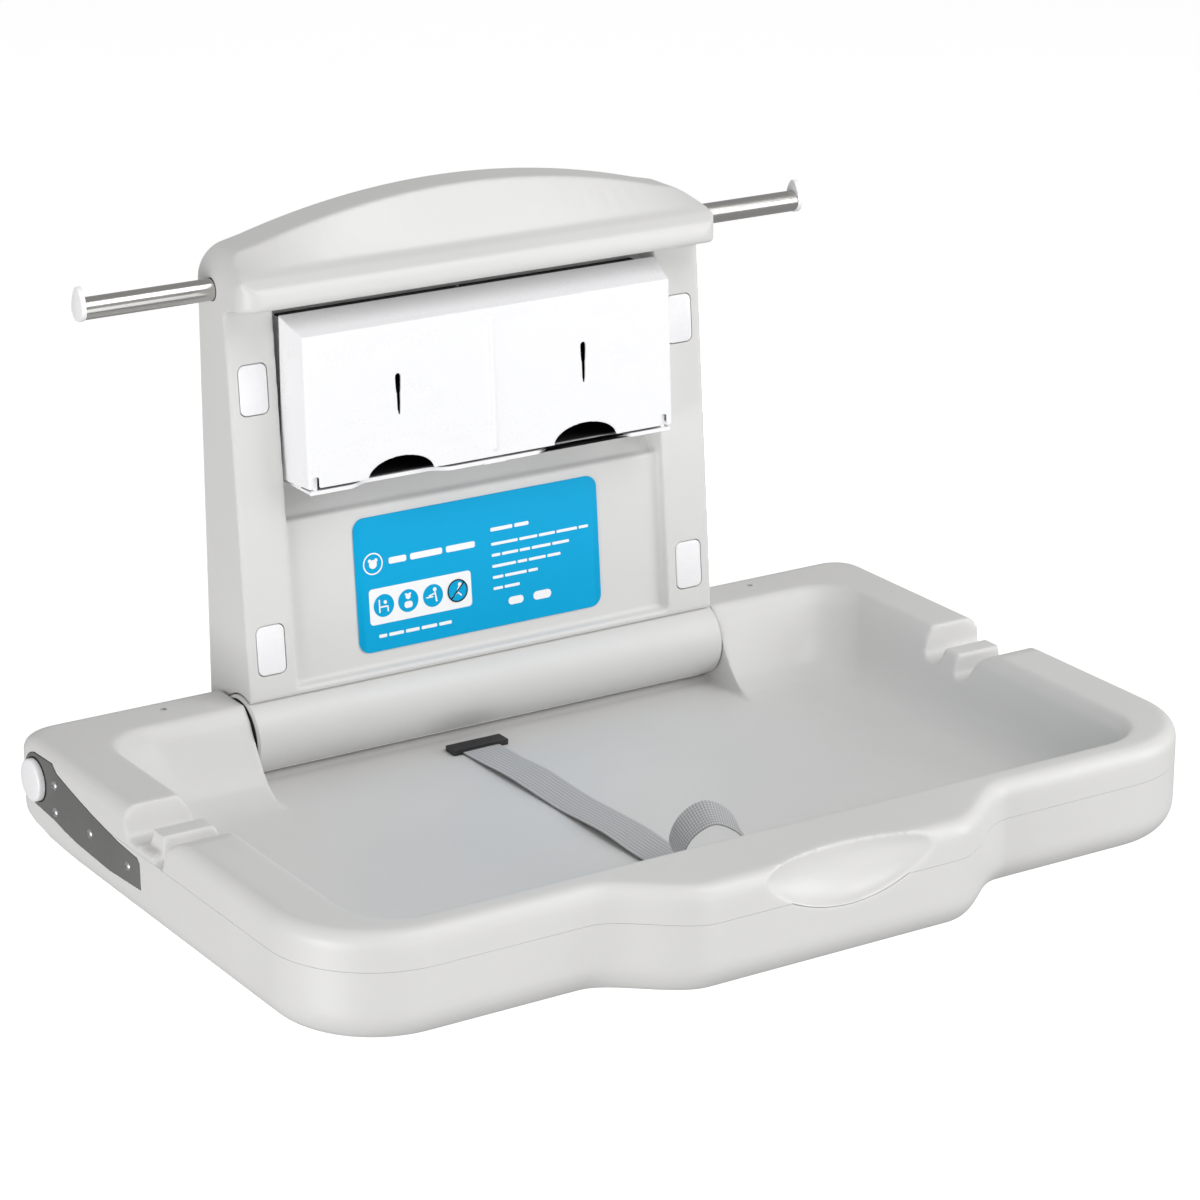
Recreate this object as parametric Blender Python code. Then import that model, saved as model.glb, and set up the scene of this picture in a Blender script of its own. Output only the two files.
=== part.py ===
"""Wall-mounted folding baby changing station, open, in metres.

The wall is the plane y = 0 and the tray opens towards -Y. The origin is the centre of the wall
plate's rear face. Heights are given from the open tray's rim, which lies at RIM_Z.
"""
import math

import bmesh
import bpy
from mathutils import Vector

GAP = 0.0003            # left between pieces that touch
RIM_Z = -0.1395         # the open tray's rim
OVER = 0.02             # how far a cutter runs past the skin that it opens

# Hinge: one shaft along X, through the wall unit's roll and both tray shoulders
HINGE_Y = -0.057
HINGE_Z = RIM_Z - 0.0325
SHAFT_R = 0.008
SHAFT_HALF = 0.4405
ROLL_R = 0.036
ROLL_HALF = 0.2432
ROLL_BORE = 0.0315

# Tray
TRAY_HALF = 0.440
CORNER_FRONT = 0.572    # front of the corner sections
CENTRE_FRONT = 0.622    # front of the bulged middle
BULGE_IN, BULGE_OUT = 0.118, 0.208
CORNER_R = 0.095
TRAY_REAR = 0.014
TRAY_HEIGHT = 0.096
FLOOR_DEPTH = 0.074
CAVITY_HALF = 0.388
CAVITY_FRONT = 0.546
SKIN = 0.004            # moulded skin of the tray
THROAT_HALF = 0.2455    # the shoulders stand this far out, beside the roll
THROAT_Y = -0.060       # the floor's rear edge, below the roll

# Wall unit
UNIT_HALF = 0.2425
FACE_TOP, FACE_BOTTOM = 0.046, 0.076    # how far its face stands out at 0.350 and at 0
FACE_SPAN = 0.350
CROWN = 0.430           # top of the head's arch, which drops by ARCH_RISE to its ends
ARCH_RISE = 0.040
ARCH_END_R = 0.030
HEAD_CORNER_R = 0.022
UNIT_FOOT = -0.066
SHELL = 0.004
RECESS_HALF = 0.195
RECESS_SILL = 0.155     # top of the raised lower panel
RECESS_TOP = 0.352
PANEL_INSET = 0.009
PLATE = 0.003           # wall plate's sheet
PLATE_HALF_Z = 0.201

# Label
LABEL_UP = 0.0835
LABEL_HALVES = (0.127, 0.0615)

# Bag bar
BAR_Y, BAR_UP = -0.024, 0.364
BAR_R = 0.0097
BAR_HALF = UNIT_HALF + 0.121

# Dispenser
COVER_HINGE_Y, COVER_HINGE_UP = -0.0845, 0.1985
COVER_WALL = 0.0025
COVER_FOOT, COVER_TOP = 0.1925, 0.3385
BASE_FOOT, BASE_FLOOR = 0.1875, 0.1898
PIN_HOLE = 0.0013
EAR_X, EAR_HALF = 0.1795, 0.0018        # the base's ears, which carry the cover's pins

# Screw covers in the rails
RAIL_X = 0.219
COVER_UPS = {"upper": 0.278, "lower": 0.0465}
COVER_SIZE = (0.027, 0.044)
COVER_CORNER = 0.006
COVER_SEAT = 0.009      # depth of their pockets, whose floors take the wall screws
SCREW_HOLE = 0.0029

# Strap
STRAP_X = -0.030
STRAP_WIDTH = 0.038
STRAP_THICK = 0.0018
BUCKLE_Y = -0.4745       # where the plug meets its socket
PLUG_TRAVEL = 0.018
SOCKET_DEPTH = 0.0255
BUCKLE_DEPTH = 0.014

PALETTE = {
    "body_plastic": ((0.70, 0.70, 0.68), 0.42, 0.0),
    "tray_plastic": ((0.68, 0.68, 0.66), 0.42, 0.0),
    "white_plastic": ((0.90, 0.90, 0.91), 0.30, 0.0),
    "black_plastic": ((0.02, 0.02, 0.02), 0.45, 0.0),
    "label_film": ((0.0, 0.39, 0.73), 0.35, 0.0),
    "brushed_steel": ((0.62, 0.62, 0.62), 0.25, 1.0),
    "zinc_steel": ((0.55, 0.55, 0.56), 0.35, 1.0),
    "grey_paint": ((0.16, 0.16, 0.155), 0.5, 0.0),
    "webbing": ((0.40, 0.40, 0.42), 0.85, 0.0),
}


def up(height):
    """World height of a level that is given from the open tray's rim."""
    return RIM_Z + height


def material(name):
    found = bpy.data.materials.get(name)
    if found:
        return found
    colour, roughness, metallic = PALETTE[name]
    made = bpy.data.materials.new(name)
    made.use_nodes = True
    shader = made.node_tree.nodes["Principled BSDF"]
    shader.inputs["Base Color"].default_value = (*colour, 1.0)
    shader.inputs["Roughness"].default_value = roughness
    shader.inputs["Metallic"].default_value = metallic
    return made


# ---------------------------------------------------------------- shape helpers

def make(name, bm):
    """A new object from a bmesh, its faces turned outwards."""
    bmesh.ops.recalc_face_normals(bm, faces=bm.faces[:])
    mesh = bpy.data.meshes.new(name)
    bm.to_mesh(mesh)
    bm.free()
    obj = bpy.data.objects.new(name, mesh)
    bpy.context.collection.objects.link(obj)
    return obj


def loft(name, rings):
    """A closed body through rings of equal point counts, with a cap at each end."""
    bm = bmesh.new()
    loops = [[bm.verts.new(point) for point in ring] for ring in rings]
    for low, high in zip(loops, loops[1:]):
        for i in range(len(low)):
            j = (i + 1) % len(low)
            bm.faces.new((low[i], low[j], high[j], high[i]))
    caps = [bm.faces.new(loops[0]), bm.faces.new(loops[-1])]
    bmesh.ops.triangulate(bm, faces=caps)
    return make(name, bm)


def box(name, low, high):
    (x0, y0, z0), (x1, y1, z1) = low, high
    corners = [(x0, y0), (x1, y0), (x1, y1), (x0, y1)]
    return loft(name, [[(x, y, z) for x, y in corners] for z in (z0, z1)])


def prism_x(name, outline, x0, x1):
    """A (y, z) outline drawn out along X."""
    return loft(name, [[(x, y, z) for y, z in outline] for x in (x0, x1)])


def prism_y(name, outline, y0, y1):
    """An (x, z) outline drawn out along Y."""
    return loft(name, [[(x, y, z) for x, z in outline] for y in (y0, y1)])


def arc(centre, radius, start, end, steps):
    """Points of an arc in a plane, angles in degrees."""
    angles = [math.radians(start + (end - start) * i / steps) for i in range(steps + 1)]
    return [(centre[0] + radius * math.cos(a), centre[1] + radius * math.sin(a)) for a in angles]


def disc_x(name, centre, profile, sides=24):
    """A turned piece on an axis along X: profile is (x, radius), from one end to the other."""
    y, z = centre
    rings = [[(x, py, pz) for py, pz in arc((y, z), r, 0, 360 - 360 / sides, sides - 1)]
             for x, r in profile]
    return loft(name, rings)


def rod_y(name, centre, profile, sides=12):
    """A turned piece on an axis along Y: profile is (y, radius)."""
    x, z = centre
    rings = [[(px, y, pz) for px, pz in arc((x, z), r, 0, 360 - 360 / sides, sides - 1)]
             for y, r in profile]
    return loft(name, rings)


def rounded(half_x, half_z, radius, steps=4):
    """A rounded rectangle about (0, 0)."""
    points = []
    for sx, sz, start in ((1, 1, 0), (-1, 1, 90), (-1, -1, 180), (1, -1, 270)):
        centre = (sx * (half_x - radius), sz * (half_z - radius))
        points += arc(centre, radius, start, start + 90, steps)
    return points


def combine(target, operation, others):
    """Boolean the others into the target, and remove them."""
    for other in others:
        modifier = target.modifiers.new("boolean", "BOOLEAN")
        modifier.operation = operation
        modifier.solver = "EXACT"
        modifier.object = other
        graph = bpy.context.evaluated_depsgraph_get()
        mesh = bpy.data.meshes.new_from_object(target.evaluated_get(graph))
        target.modifiers.remove(modifier)
        target.data = mesh
        bpy.data.objects.remove(other)
    return target


def cut(target, *others):
    return combine(target, "DIFFERENCE", others)


def join(target, *others):
    return combine(target, "UNION", others)


def keep(target, *others):
    return combine(target, "INTERSECT", others)


def node(obj, name, finish):
    """Name an object as a sub-part, give it its material and shade it smooth."""
    obj.name = name
    obj.data.name = name
    obj.data.materials.clear()
    obj.data.materials.append(material(finish))
    obj.data.shade_smooth()
    obj.data.set_sharp_from_angle(angle=math.radians(35))
    return obj


# ---------------------------------------------------------------- tray

def mirrored(right):
    """A closed loop from its right half, which starts and ends on x = 0."""
    return right + [(-x, y) for x, y in reversed(right[1:-1])]


def tray_outline(inset):
    """The tray's plan: bulged front middle, round front corners, straight sides and rear."""
    half = TRAY_HALF - inset
    front = -(CORNER_FRONT - inset)
    middle = -(CENTRE_FRONT - inset)
    rear = -(TRAY_REAR + inset)
    radius = CORNER_R - inset
    rear_radius = 0.024
    right = [(0.0, middle), (0.055, middle)]
    steps = 8
    for i in range(steps + 1):
        t = i / steps
        ease = t * t * (3 - 2 * t)
        right.append((BULGE_IN + (BULGE_OUT - BULGE_IN) * t, middle + (front - middle) * ease))
    right += arc((half - radius, front + radius), radius, -90, 0, 8)
    right += [(half, -0.36), (half, -0.20)]
    right += arc((half - rear_radius, rear - rear_radius), rear_radius, 0, 90, 4)
    right += [(0.25, rear), (0.0, rear)]
    return mirrored(right)


def tray_block(inset):
    """The tray's outer body without its cavity, rounded above and below."""
    top_r, foot_r = 0.018, 0.026
    levels = []
    for angle in (90, 60, 30, 0):
        a = math.radians(angle)
        levels.append((inset - TRAY_HEIGHT + foot_r * (1 - math.sin(a)), foot_r * (1 - math.cos(a))))
    for angle in (0, 30, 60, 90):
        a = math.radians(angle)
        levels.append((-inset - top_r * (1 - math.sin(a)), top_r * (1 - math.cos(a))))
    rings = [[(x, y, up(z)) for x, y in tray_outline(inset + extra)] for z, extra in levels]
    block = loft("tray_block", rings)
    belly = [(-0.250, -0.096), (-0.172, -0.0935), (-0.077, -0.083), (-0.030, -0.068), (OVER, -0.045)]
    wedge = [(y, up(z + inset)) for y, z in belly] + [(OVER, up(-0.2)), (-0.250, up(-0.2))]
    return cut(block, prism_x("wedge", wedge, -0.5, 0.5))


def cavity_outline(inset, rear):
    half = CAVITY_HALF - inset
    front = -CAVITY_FRONT + 0.45 * inset
    radius = 0.055
    right = [(0.0, front), (0.10, front), (0.22, front)]
    right += arc((half - radius, front + radius), radius, -90, 0, 6)
    right += [(half, -0.33), (half, -0.22)]
    right += arc((half - 0.04, rear - 0.04), 0.04, 0, 90, 5)
    right += [(0.2, rear), (0.0, rear)]
    return mirrored(right)


def cavity(grow=0.0):
    """The space where the child lies; grow makes it larger all round, for the skin."""
    levels = [(-FLOOR_DEPTH, 0.062, -0.150), (-0.070, 0.044, -0.128), (-0.060, 0.030, -0.112),
              (-0.042, 0.018, -0.098), (-0.008, 0.006, -0.080), (0.0, 0.0, -0.072),
              (OVER, 0.0, -0.072)]
    rings = [[(x, y, up(z - (grow if z <= 0.0 else 0.0))) for x, y in
              cavity_outline(inset - grow, rear + grow)] for z, inset, rear in levels]
    space = loft("cavity", rings)
    throat = box("throat", (-THROAT_HALF - grow, -0.20, up(-FLOOR_DEPTH - grow)),
                 (THROAT_HALF + grow, 0.0, up(OVER)))
    return join(space, throat)


def rear_cut(grow=0.0):
    """Clears the middle of the tray's rear edge from the wall unit and its roll."""
    return box("rear_cut", (-THROAT_HALF - grow, THROAT_Y - grow, up(-0.15)),
               (THROAT_HALF + grow, OVER, up(OVER)))


def bag_notch(side, grow=0.0):
    """Two slots with a hook between them, cut across one side rim."""
    profile = [(-0.227, OVER), (-0.231, -0.027), (-0.253, -0.027), (-0.2545, -0.012),
               (-0.2755, -0.012), (-0.277, -0.0315), (-0.294, -0.0315), (-0.299, -0.016),
               (-0.309, -0.006), (-0.329, 0.0), (-0.329, OVER)]
    if grow:
        profile = [(-0.223, OVER), (-0.227, -0.031), (-0.257, -0.031), (-0.2585, -0.016),
                   (-0.2715, -0.016), (-0.273, -0.0355), (-0.297, -0.0355), (-0.303, -0.020),
                   (-0.312, -0.010), (-0.335, -0.003), (-0.335, OVER)]
    ends = sorted((side * 0.36, side * 0.46))
    slots = prism_x("notch", [(y, up(z)) for y, z in profile], *ends)
    start, front, rear, foot = (0.424, -0.2755, -0.2555, -0.0305) if grow else (0.428, -0.279, -0.252, -0.0265)
    ends = sorted((side * start, side * 0.455))
    return join(slots, box("hook_end", (ends[0], front, up(foot)), (ends[1], rear, up(OVER - 0.001))))


def finger_scoop(grow=0.0):
    """A lens-shaped hollow on the front edge, for the hand that folds the tray."""
    bm = bmesh.new()
    bmesh.ops.create_uvsphere(bm, u_segments=24, v_segments=12, radius=1.0)
    size = Vector((0.082, 0.018, 0.034)) + Vector((grow, grow, grow))
    bmesh.ops.scale(bm, vec=size, verts=bm.verts)
    bmesh.ops.translate(bm, vec=(0.010, -CENTRE_FRONT, up(-0.012)), verts=bm.verts)
    return make("scoop", bm)


def offset(outline, distance):
    """Move a counter-clockwise outline outwards, each point along its corner's bisector."""
    moved = []
    for i, point in enumerate(outline):
        here = Vector(point)
        before = (here - Vector(outline[i - 1])).normalized()
        after = (Vector(outline[(i + 1) % len(outline)]) - here).normalized()
        normal = (Vector((before.y, -before.x)) + Vector((after.y, -after.x))).normalized()
        moved.append(tuple(here + normal * distance))
    return moved


def arm_outline(grow=0.0):
    """The hinge arm's plate, in (y, height): a round eye and a blade that narrows forwards."""
    eye = arc((HINGE_Y, HINGE_Z - RIM_Z), 0.0235, 270, 440, 10)
    blade = [(-0.088, -0.0085), (-0.100, -0.0145), (-0.165, -0.028), (-0.215, -0.0355),
             (-0.249, -0.0375), (-0.253, -0.041), (-0.254, -0.064), (-0.195, -0.067),
             (-0.134, -0.0645), (-0.090, -0.0585)]
    return [(y, up(z)) for y, z in offset(eye + blade, grow)]


ARM_SCREWS = [(-0.094, -0.026), (-0.0936, -0.0505), (-0.161, -0.0464), (-0.2316, -0.0505)]
ARM_THICK = 0.0024


def arm_pocket(side):
    ends = sorted((side * (TRAY_HALF - ARM_THICK - GAP), side * (TRAY_HALF + OVER)))
    return prism_x("pocket", arm_outline(GAP), *ends)


def shaft_hole(side, radius, start, end):
    ends = sorted((side * start, side * end))
    return disc_x("hole", (HINGE_Y, HINGE_Z), [(ends[0], radius), (ends[1], radius)])


def tray_shells():
    """The tray's hollow body, parted at the hinge's height into an upper and a lower shell."""
    body = cut(tray_block(0.0), rear_cut(), cavity())
    void = cut(tray_block(SKIN), rear_cut(SKIN), cavity(SKIN), finger_scoop(SKIN))
    for side in (-1, 1):
        cut(void, bag_notch(side, SKIN))
        pad = prism_x("pad", arm_outline(0.004), *sorted((side * (TRAY_HALF - 0.0075), side * 0.5)))
        cut(void, pad)
    cut(body, void, finger_scoop())
    join(body, floor_lip())
    for side in (-1, 1):
        cut(body, bag_notch(side), arm_pocket(side), shaft_hole(side, SHAFT_R + 0.0006, 0.22, 0.46))
        for y, z in ARM_SCREWS:
            ends = sorted((side * (TRAY_HALF - 0.0125), side * 0.45))
            cut(body, disc_x("hole", (y, up(z)), [(ends[0], 0.0019), (ends[1], 0.0019)], 8))
    lower = body.copy()
    lower.data = body.data.copy()
    bpy.context.collection.objects.link(lower)
    return keep(body, liner_side(GAP / 2)), cut(lower, liner_side(-GAP / 2))


def floor_lip():
    """A low lip along the floor's rear edge, which closes the gap below the roll."""
    return box("lip", (-THROAT_HALF - 0.002, THROAT_Y - 0.008, up(-FLOOR_DEPTH - 0.002)),
               (THROAT_HALF + 0.002, THROAT_Y - 0.0001, up(-FLOOR_DEPTH + 0.0045)))


def liner_side(margin):
    """The space of the upper shell: all above the seam, and the cavity with its own skin."""
    above = box("above", (-0.6, -0.8, HINGE_Z + margin), (0.6, 0.2, up(0.3)))
    return join(above, cavity(SKIN + 0.0005 - margin))


def hinge_arm(side):
    """Steel arm let into the tray's end, its cap and its four screws."""
    label = "left" if side < 0 else "right"
    inner, outer = side * (TRAY_HALF - ARM_THICK), side * (TRAY_HALF + 0.0002)
    arm = prism_x("arm", arm_outline(), *sorted((inner, outer)))
    cut(arm, shaft_hole(side, SHAFT_R + GAP, 0.40, 0.46))
    for y, z in ARM_SCREWS:
        ends = sorted((side * 0.42, side * 0.46))
        cut(arm, disc_x("hole", (y, up(z)), [(ends[0], 0.0022), (ends[1], 0.0022)], 8))
    node(arm, f"hinge_arm_{label}", "grey_paint")

    rim = TRAY_HALF + 0.0005
    profile = [(side * (rim + x), r) for x, r in ((0.0, 0.0187), (0.0045, 0.0187), (0.0065, 0.0165))]
    cap = disc_x("cap", (HINGE_Y, HINGE_Z), profile, 32)
    cut(cap, shaft_hole(side, SHAFT_R + GAP, 0.43, SHAFT_HALF + 0.0015))
    node(cap, f"hinge_cap_{label}", "white_plastic")

    for number, (y, z) in enumerate(ARM_SCREWS, 1):
        face = TRAY_HALF + 0.0005
        profile = [(side * (face - 0.012), 0.0016), (side * (face - GAP + 0.0001), 0.0016),
                   (side * (face + 0.0001), 0.0042), (side * (face + 0.0014), 0.0036),
                   (side * (face + 0.0022), 0.0020)]
        node(disc_x("screw", (y, up(z)), profile, 8), f"arm_screw_{label}_{number}", "zinc_steel")


# ---------------------------------------------------------------- wall unit

def face_y(height):
    """How far the unit's face stands out at a height: it leans back towards the top."""
    return -(FACE_BOTTOM + (FACE_TOP - FACE_BOTTOM) * height / FACE_SPAN)


def arch_height(x):
    return CROWN - ARCH_RISE * (x / UNIT_HALF) ** 2


def arch_outline(inset, foot):
    """The head's front outline in (x, z): a low arch with round ends."""
    half = UNIT_HALF - inset
    radius = ARCH_END_R - inset
    flank = arch_height(UNIT_HALF - ARCH_END_R) - ARCH_END_R
    points = [(-half, foot), (half, foot)]
    points += arc((half - radius, flank), radius, 0, 75, 5)
    for i in range(13):
        x = 0.200 - 0.40 * i / 12
        points.append((x, arch_height(x) - inset))
    points += arc((-half + radius, flank), radius, 105, 180, 5)
    return [(x, up(z)) for x, z in points]


def head(inset, rear):
    """The head above the recess: a ledge, and over it a face that leans back to the arch."""
    ledge = [(rear, 0.330), (-0.035, 0.330), (-0.047 + inset, 0.3475 + inset),
             (-0.062 + inset, 0.3525 + inset), (-0.082 + inset, 0.354 + inset),
             (-0.0875 + inset, 0.358 + inset), (-0.088 + inset, 0.366),
             (-0.084 + inset, 0.374 - inset), (-0.074 + inset, 0.381 - inset),
             (-0.064 + inset, 0.385 - inset)]
    rings = []
    for i in range(13):
        x = (UNIT_HALF - inset) * (i / 6 - 1)
        top = arch_height(x) - inset
        profile = ledge + [(-0.036 + inset, top + 0.002), (-0.034 + inset, top + OVER), (rear, top + OVER)]
        rings.append([(x, y, up(z)) for y, z in profile])
    crown = loft("head", rings)
    half, radius, front = UNIT_HALF - inset, HEAD_CORNER_R - inset, -0.088 + inset
    plan = [(half, OVER), (-half, OVER)] + arc((-half + radius, front + radius), radius, 180, 270, 5)
    plan += arc((half - radius, front + radius), radius, 270, 360, 5)
    corners = loft("corners", [[(x, y, up(z)) for x, y in plan] for z in (0.30, 0.50)])
    return keep(crown, prism_y("arch", arch_outline(inset, 0.32), -0.1, 0.05), corners)


def unit_block(inset):
    """The wall unit's outer body: leaning face, seat for the roll and arched head."""
    seat = ROLL_R + 0.001 + inset
    centre = (HINGE_Y, HINGE_Z - RIM_Z)
    rear = OVER if inset else 0.0
    profile = [(rear, UNIT_FOOT + inset), (-0.0175 + inset, UNIT_FOOT + inset)]
    profile += arc(centre, seat, -12, 118, 8)
    low = profile[-1]
    profile += [(face_y(low[1]) + inset, low[1] + 0.003), (face_y(FACE_SPAN) + inset, FACE_SPAN - inset)]
    profile += [(rear, FACE_SPAN - inset)]
    block = prism_x("block", [(y, up(z)) for y, z in profile], -UNIT_HALF + inset, UNIT_HALF - inset)
    return join(block, head(inset, rear))


def recess(grow=0.0):
    """The pocket behind the dispenser and, below its sill, the sunk panel for the label."""
    half = RECESS_HALF + grow
    deep = -0.022 + grow
    sill_y = face_y(RECESS_SILL) + PANEL_INSET + 0.010 + grow
    pocket = [(-0.12, RECESS_TOP + grow), (deep, 0.346 + grow), (deep, 0.178 - grow),
              (sill_y, RECESS_SILL - grow), (-0.12, RECESS_SILL - grow)]
    panel = [(face_y(h) + PANEL_INSET + grow, h) for h in (RECESS_SILL + 0.001, 0.008)]
    panel += [(-0.12, 0.004), (-0.12, RECESS_SILL + 0.001)]
    return [prism_x("recess", [(y, up(z)) for y, z in profile], -half, half) for profile in (pocket, panel)]


def screw_sites():
    for side in (-1, 1):
        for level, height in COVER_UPS.items():
            label = f"{level}_{'left' if side < 0 else 'right'}"
            yield label, side * RAIL_X, height


def cover_pocket(x, height, grow=0.0):
    outline = rounded(COVER_SIZE[0] / 2 + GAP + grow, COVER_SIZE[1] / 2 + GAP + grow, COVER_CORNER)
    floor = face_y(height) + COVER_SEAT + grow
    return prism_y("pocket", [(x + px, up(height + pz)) for px, pz in outline], -0.12, floor)


def unit_housing():
    """The moulded front of the wall unit, hollow behind and open to the wall plate."""
    body = unit_block(0.0)
    void = unit_block(SHELL)
    cut(void, *recess(SHELL))
    for _, x, height in screw_sites():
        cut(void, cover_pocket(x, height, 0.003))
        cut(void, rod_y("boss", (x, up(height)), [(-0.08, 0.008), (-PLATE - 0.0005, 0.008)]))
    cut(body, void, *recess())
    for _, x, height in screw_sites():
        hole = rod_y("hole", (x, up(height)), [(-0.1, SCREW_HOLE), (0.01, SCREW_HOLE)])
        cut(body, cover_pocket(x, height), hole)
    bar = disc_x("bar", (BAR_Y, up(BAR_UP)), [(-0.3, BAR_R + 0.0004), (0.3, BAR_R + 0.0004)])
    cut(body, bar)
    return node(body, "unit_housing", "body_plastic")


def wall_plate():
    """Steel sheet against the wall, inside the housing's rear edge."""
    outline = rounded(UNIT_HALF - SHELL - 0.001, PLATE_HALF_Z, 0.012)
    plate = prism_y("plate", outline, -PLATE, 0.0)
    for _, x, height in screw_sites():
        cut(plate, rod_y("hole", (x, up(height)), [(-0.02, SCREW_HOLE), (0.01, SCREW_HOLE)]))
    return node(plate, "wall_plate", "zinc_steel")


def wall_screws():
    """Screws through the rails' bosses and the wall plate, with their snap-in covers."""
    for label, x, height in screw_sites():
        seat = face_y(height) + COVER_SEAT - GAP
        profile = [(-0.0003, 0.0026), (seat, 0.0026), (seat - 0.0002, 0.0060),
                   (seat - 0.0020, 0.0060), (seat - 0.0036, 0.0035)]
        node(rod_y("screw", (x, up(height)), profile), f"wall_screw_{label}", "zinc_steel")

        half_x, half_z = (size / 2 for size in COVER_SIZE)
        rings = []
        for depth, inset in ((0.0042, 0.0), (-0.0002, 0.0), (-0.0010, 0.0009)):
            outline = rounded(half_x - inset, half_z - inset, COVER_CORNER - inset)
            rings.append([(x + px, face_y(height + pz) + depth, up(height + pz)) for px, pz in outline])
        node(loft("cover", rings), f"screw_cover_{label}", "white_plastic")


def label_plate():
    """Blue instruction plate on the sunk panel, parallel to the leaning face."""
    outline = [(x, LABEL_UP + z) for x, z in rounded(*LABEL_HALVES, 0.011)]
    rings = [[(x, face_y(h) + PANEL_INSET - lift, up(h)) for x, h in outline] for lift in (GAP, 0.0012)]
    return node(loft("label", rings), "label_plate", "label_film")


def bag_bar():
    """Steel tube through the head, with a turned-up cap on each end."""
    tube = disc_x("tube", (BAR_Y, up(BAR_UP)), [(-BAR_HALF, BAR_R), (BAR_HALF, BAR_R)])
    cut(tube, disc_x("bore", (BAR_Y, up(BAR_UP)), [(-0.5, 0.0082), (0.5, 0.0082)]))
    node(tube, "bag_bar", "brushed_steel")
    for side, label in ((-1, "left"), (1, "right")):
        tip = [(BAR_Y + y, up(BAR_UP) + z) for y, z in
               arc((0.0, 0.0), 0.0104, 160, 380, 14) + [(0.0030, 0.0185), (0.0, 0.0200), (-0.0030, 0.0185)]]
        face = side * (BAR_HALF + GAP)
        cap = prism_x("cap", tip, *sorted((face, face + side * 0.0045)))
        stem = disc_x("stem", (BAR_Y, up(BAR_UP)),
                      [(x, 0.0078) for x in sorted((face - side * 0.014, face + side * 0.001))])
        node(join(cap, stem), f"bag_bar_cap_{label}", "white_plastic")


# ---------------------------------------------------------------- dispenser

def cover_block(inset, rear_extra=0.0):
    """The dispenser cover's outer body: a box whose sides and top slope in towards its face."""
    rear = -0.050 + rear_extra
    half_rear, half_face = 0.1925 - inset, 0.1875 - inset
    top_rear, top_face = COVER_TOP - inset, 0.3265 - inset
    foot = COVER_FOOT
    face_top, face_foot = -0.0830 + inset, -0.0900 + inset
    rings = [
        [(-half_rear, rear, up(foot)), (half_rear, rear, up(foot)),
         (half_rear, rear, up(top_rear)), (-half_rear, rear, up(top_rear))],
        [(-half_face, face_foot, up(foot)), (half_face, face_foot, up(foot)),
         (half_face, face_top, up(top_face)), (-half_face, face_top, up(top_face))],
    ]
    return loft("cover_block", rings)


def dispenser_cover():
    """White front of the liner dispenser, with a sight slot and a pull mouth for each stack."""
    cover = cover_block(0.0)
    hollow = cover_block(COVER_WALL, 0.01)
    join(hollow, box("open_foot", (-0.1815, -0.0868, up(0.18)), (0.1815, -0.04, up(0.20))))
    cut(cover, hollow)
    for x in (-0.095, 0.095):
        slot = arc((x, up(0.2790)), 0.0028, 0, 180, 6)
        slot += [(x - 0.0008, up(0.2445)), (x + 0.0008, up(0.2445))]
        cut(cover, prism_y("slot", slot, -0.12, -0.07))
        mouth = [(x + 0.033 * math.cos(math.radians(a)), up(0.191) + 0.017 * math.sin(math.radians(a)))
                 for a in range(0, 181, 15)]
        cut(cover, prism_y("mouth", mouth, -0.12, -0.07))
    for x in (-EAR_X, EAR_X):
        reach = EAR_HALF + 0.0008
        top = up(COVER_HINGE_UP + 0.0036)
        cut(cover, box("ear_gap", (x - reach, -0.12, up(0.18)), (x + reach, -0.08, top)))
    cut(cover, pin_bore())
    return node(cover, "dispenser_cover", "white_plastic")


def pin_bore():
    return disc_x("pin_bore", (COVER_HINGE_Y, up(COVER_HINGE_UP)), [(-0.3, PIN_HOLE), (0.3, PIN_HOLE)], 8)


def dispenser_base():
    """White tray of the dispenser in the recess: back, floor with a lip, sides and divider."""
    back, front = -0.0225, -0.0780
    base = box("base", (-0.1862, front, up(BASE_FOOT)), (0.1862, back, up(0.3335)))
    inner = [(-0.10, BASE_FLOOR), (-0.10, 0.40), (-0.0250, 0.40), (-0.0250, BASE_FLOOR)]
    for low, high in ((-0.1837, -0.00125), (0.00125, 0.1837)):
        cut(base, prism_x("room", [(y, up(z)) for y, z in inner], low, high))
    slope = [(-0.10, 0.15), (-0.10, 0.42), (-0.046, 0.42), (-0.046, 0.25), (-0.074, 0.1865), (-0.074, 0.15)]
    cut(base, prism_x("slope", [(y, up(z)) for y, z in slope], -0.25, 0.25))
    lip = box("lip", (-0.1860, -0.0895, up(BASE_FOOT)), (0.1860, -0.070, up(BASE_FLOOR)))
    join(base, lip)
    for x in (-EAR_X, EAR_X):
        join(base, box("ear", (x - EAR_HALF, -0.0868, up(BASE_FOOT + 0.0005)),
                       (x + EAR_HALF, -0.0810, up(COVER_HINGE_UP + 0.0028))))
    cut(base, pin_bore())
    return node(base, "dispenser_base", "white_plastic")


def cover_pins():
    for side, label in ((-1, "left"), (1, "right")):
        ends = sorted((side * 0.1780, side * 0.1872))
        pin = disc_x("pin", (COVER_HINGE_Y, up(COVER_HINGE_UP)), [(x, PIN_HOLE - GAP) for x in ends], 8)
        node(pin, f"cover_pin_{label}", "zinc_steel")


# ---------------------------------------------------------------- hinge

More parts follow.
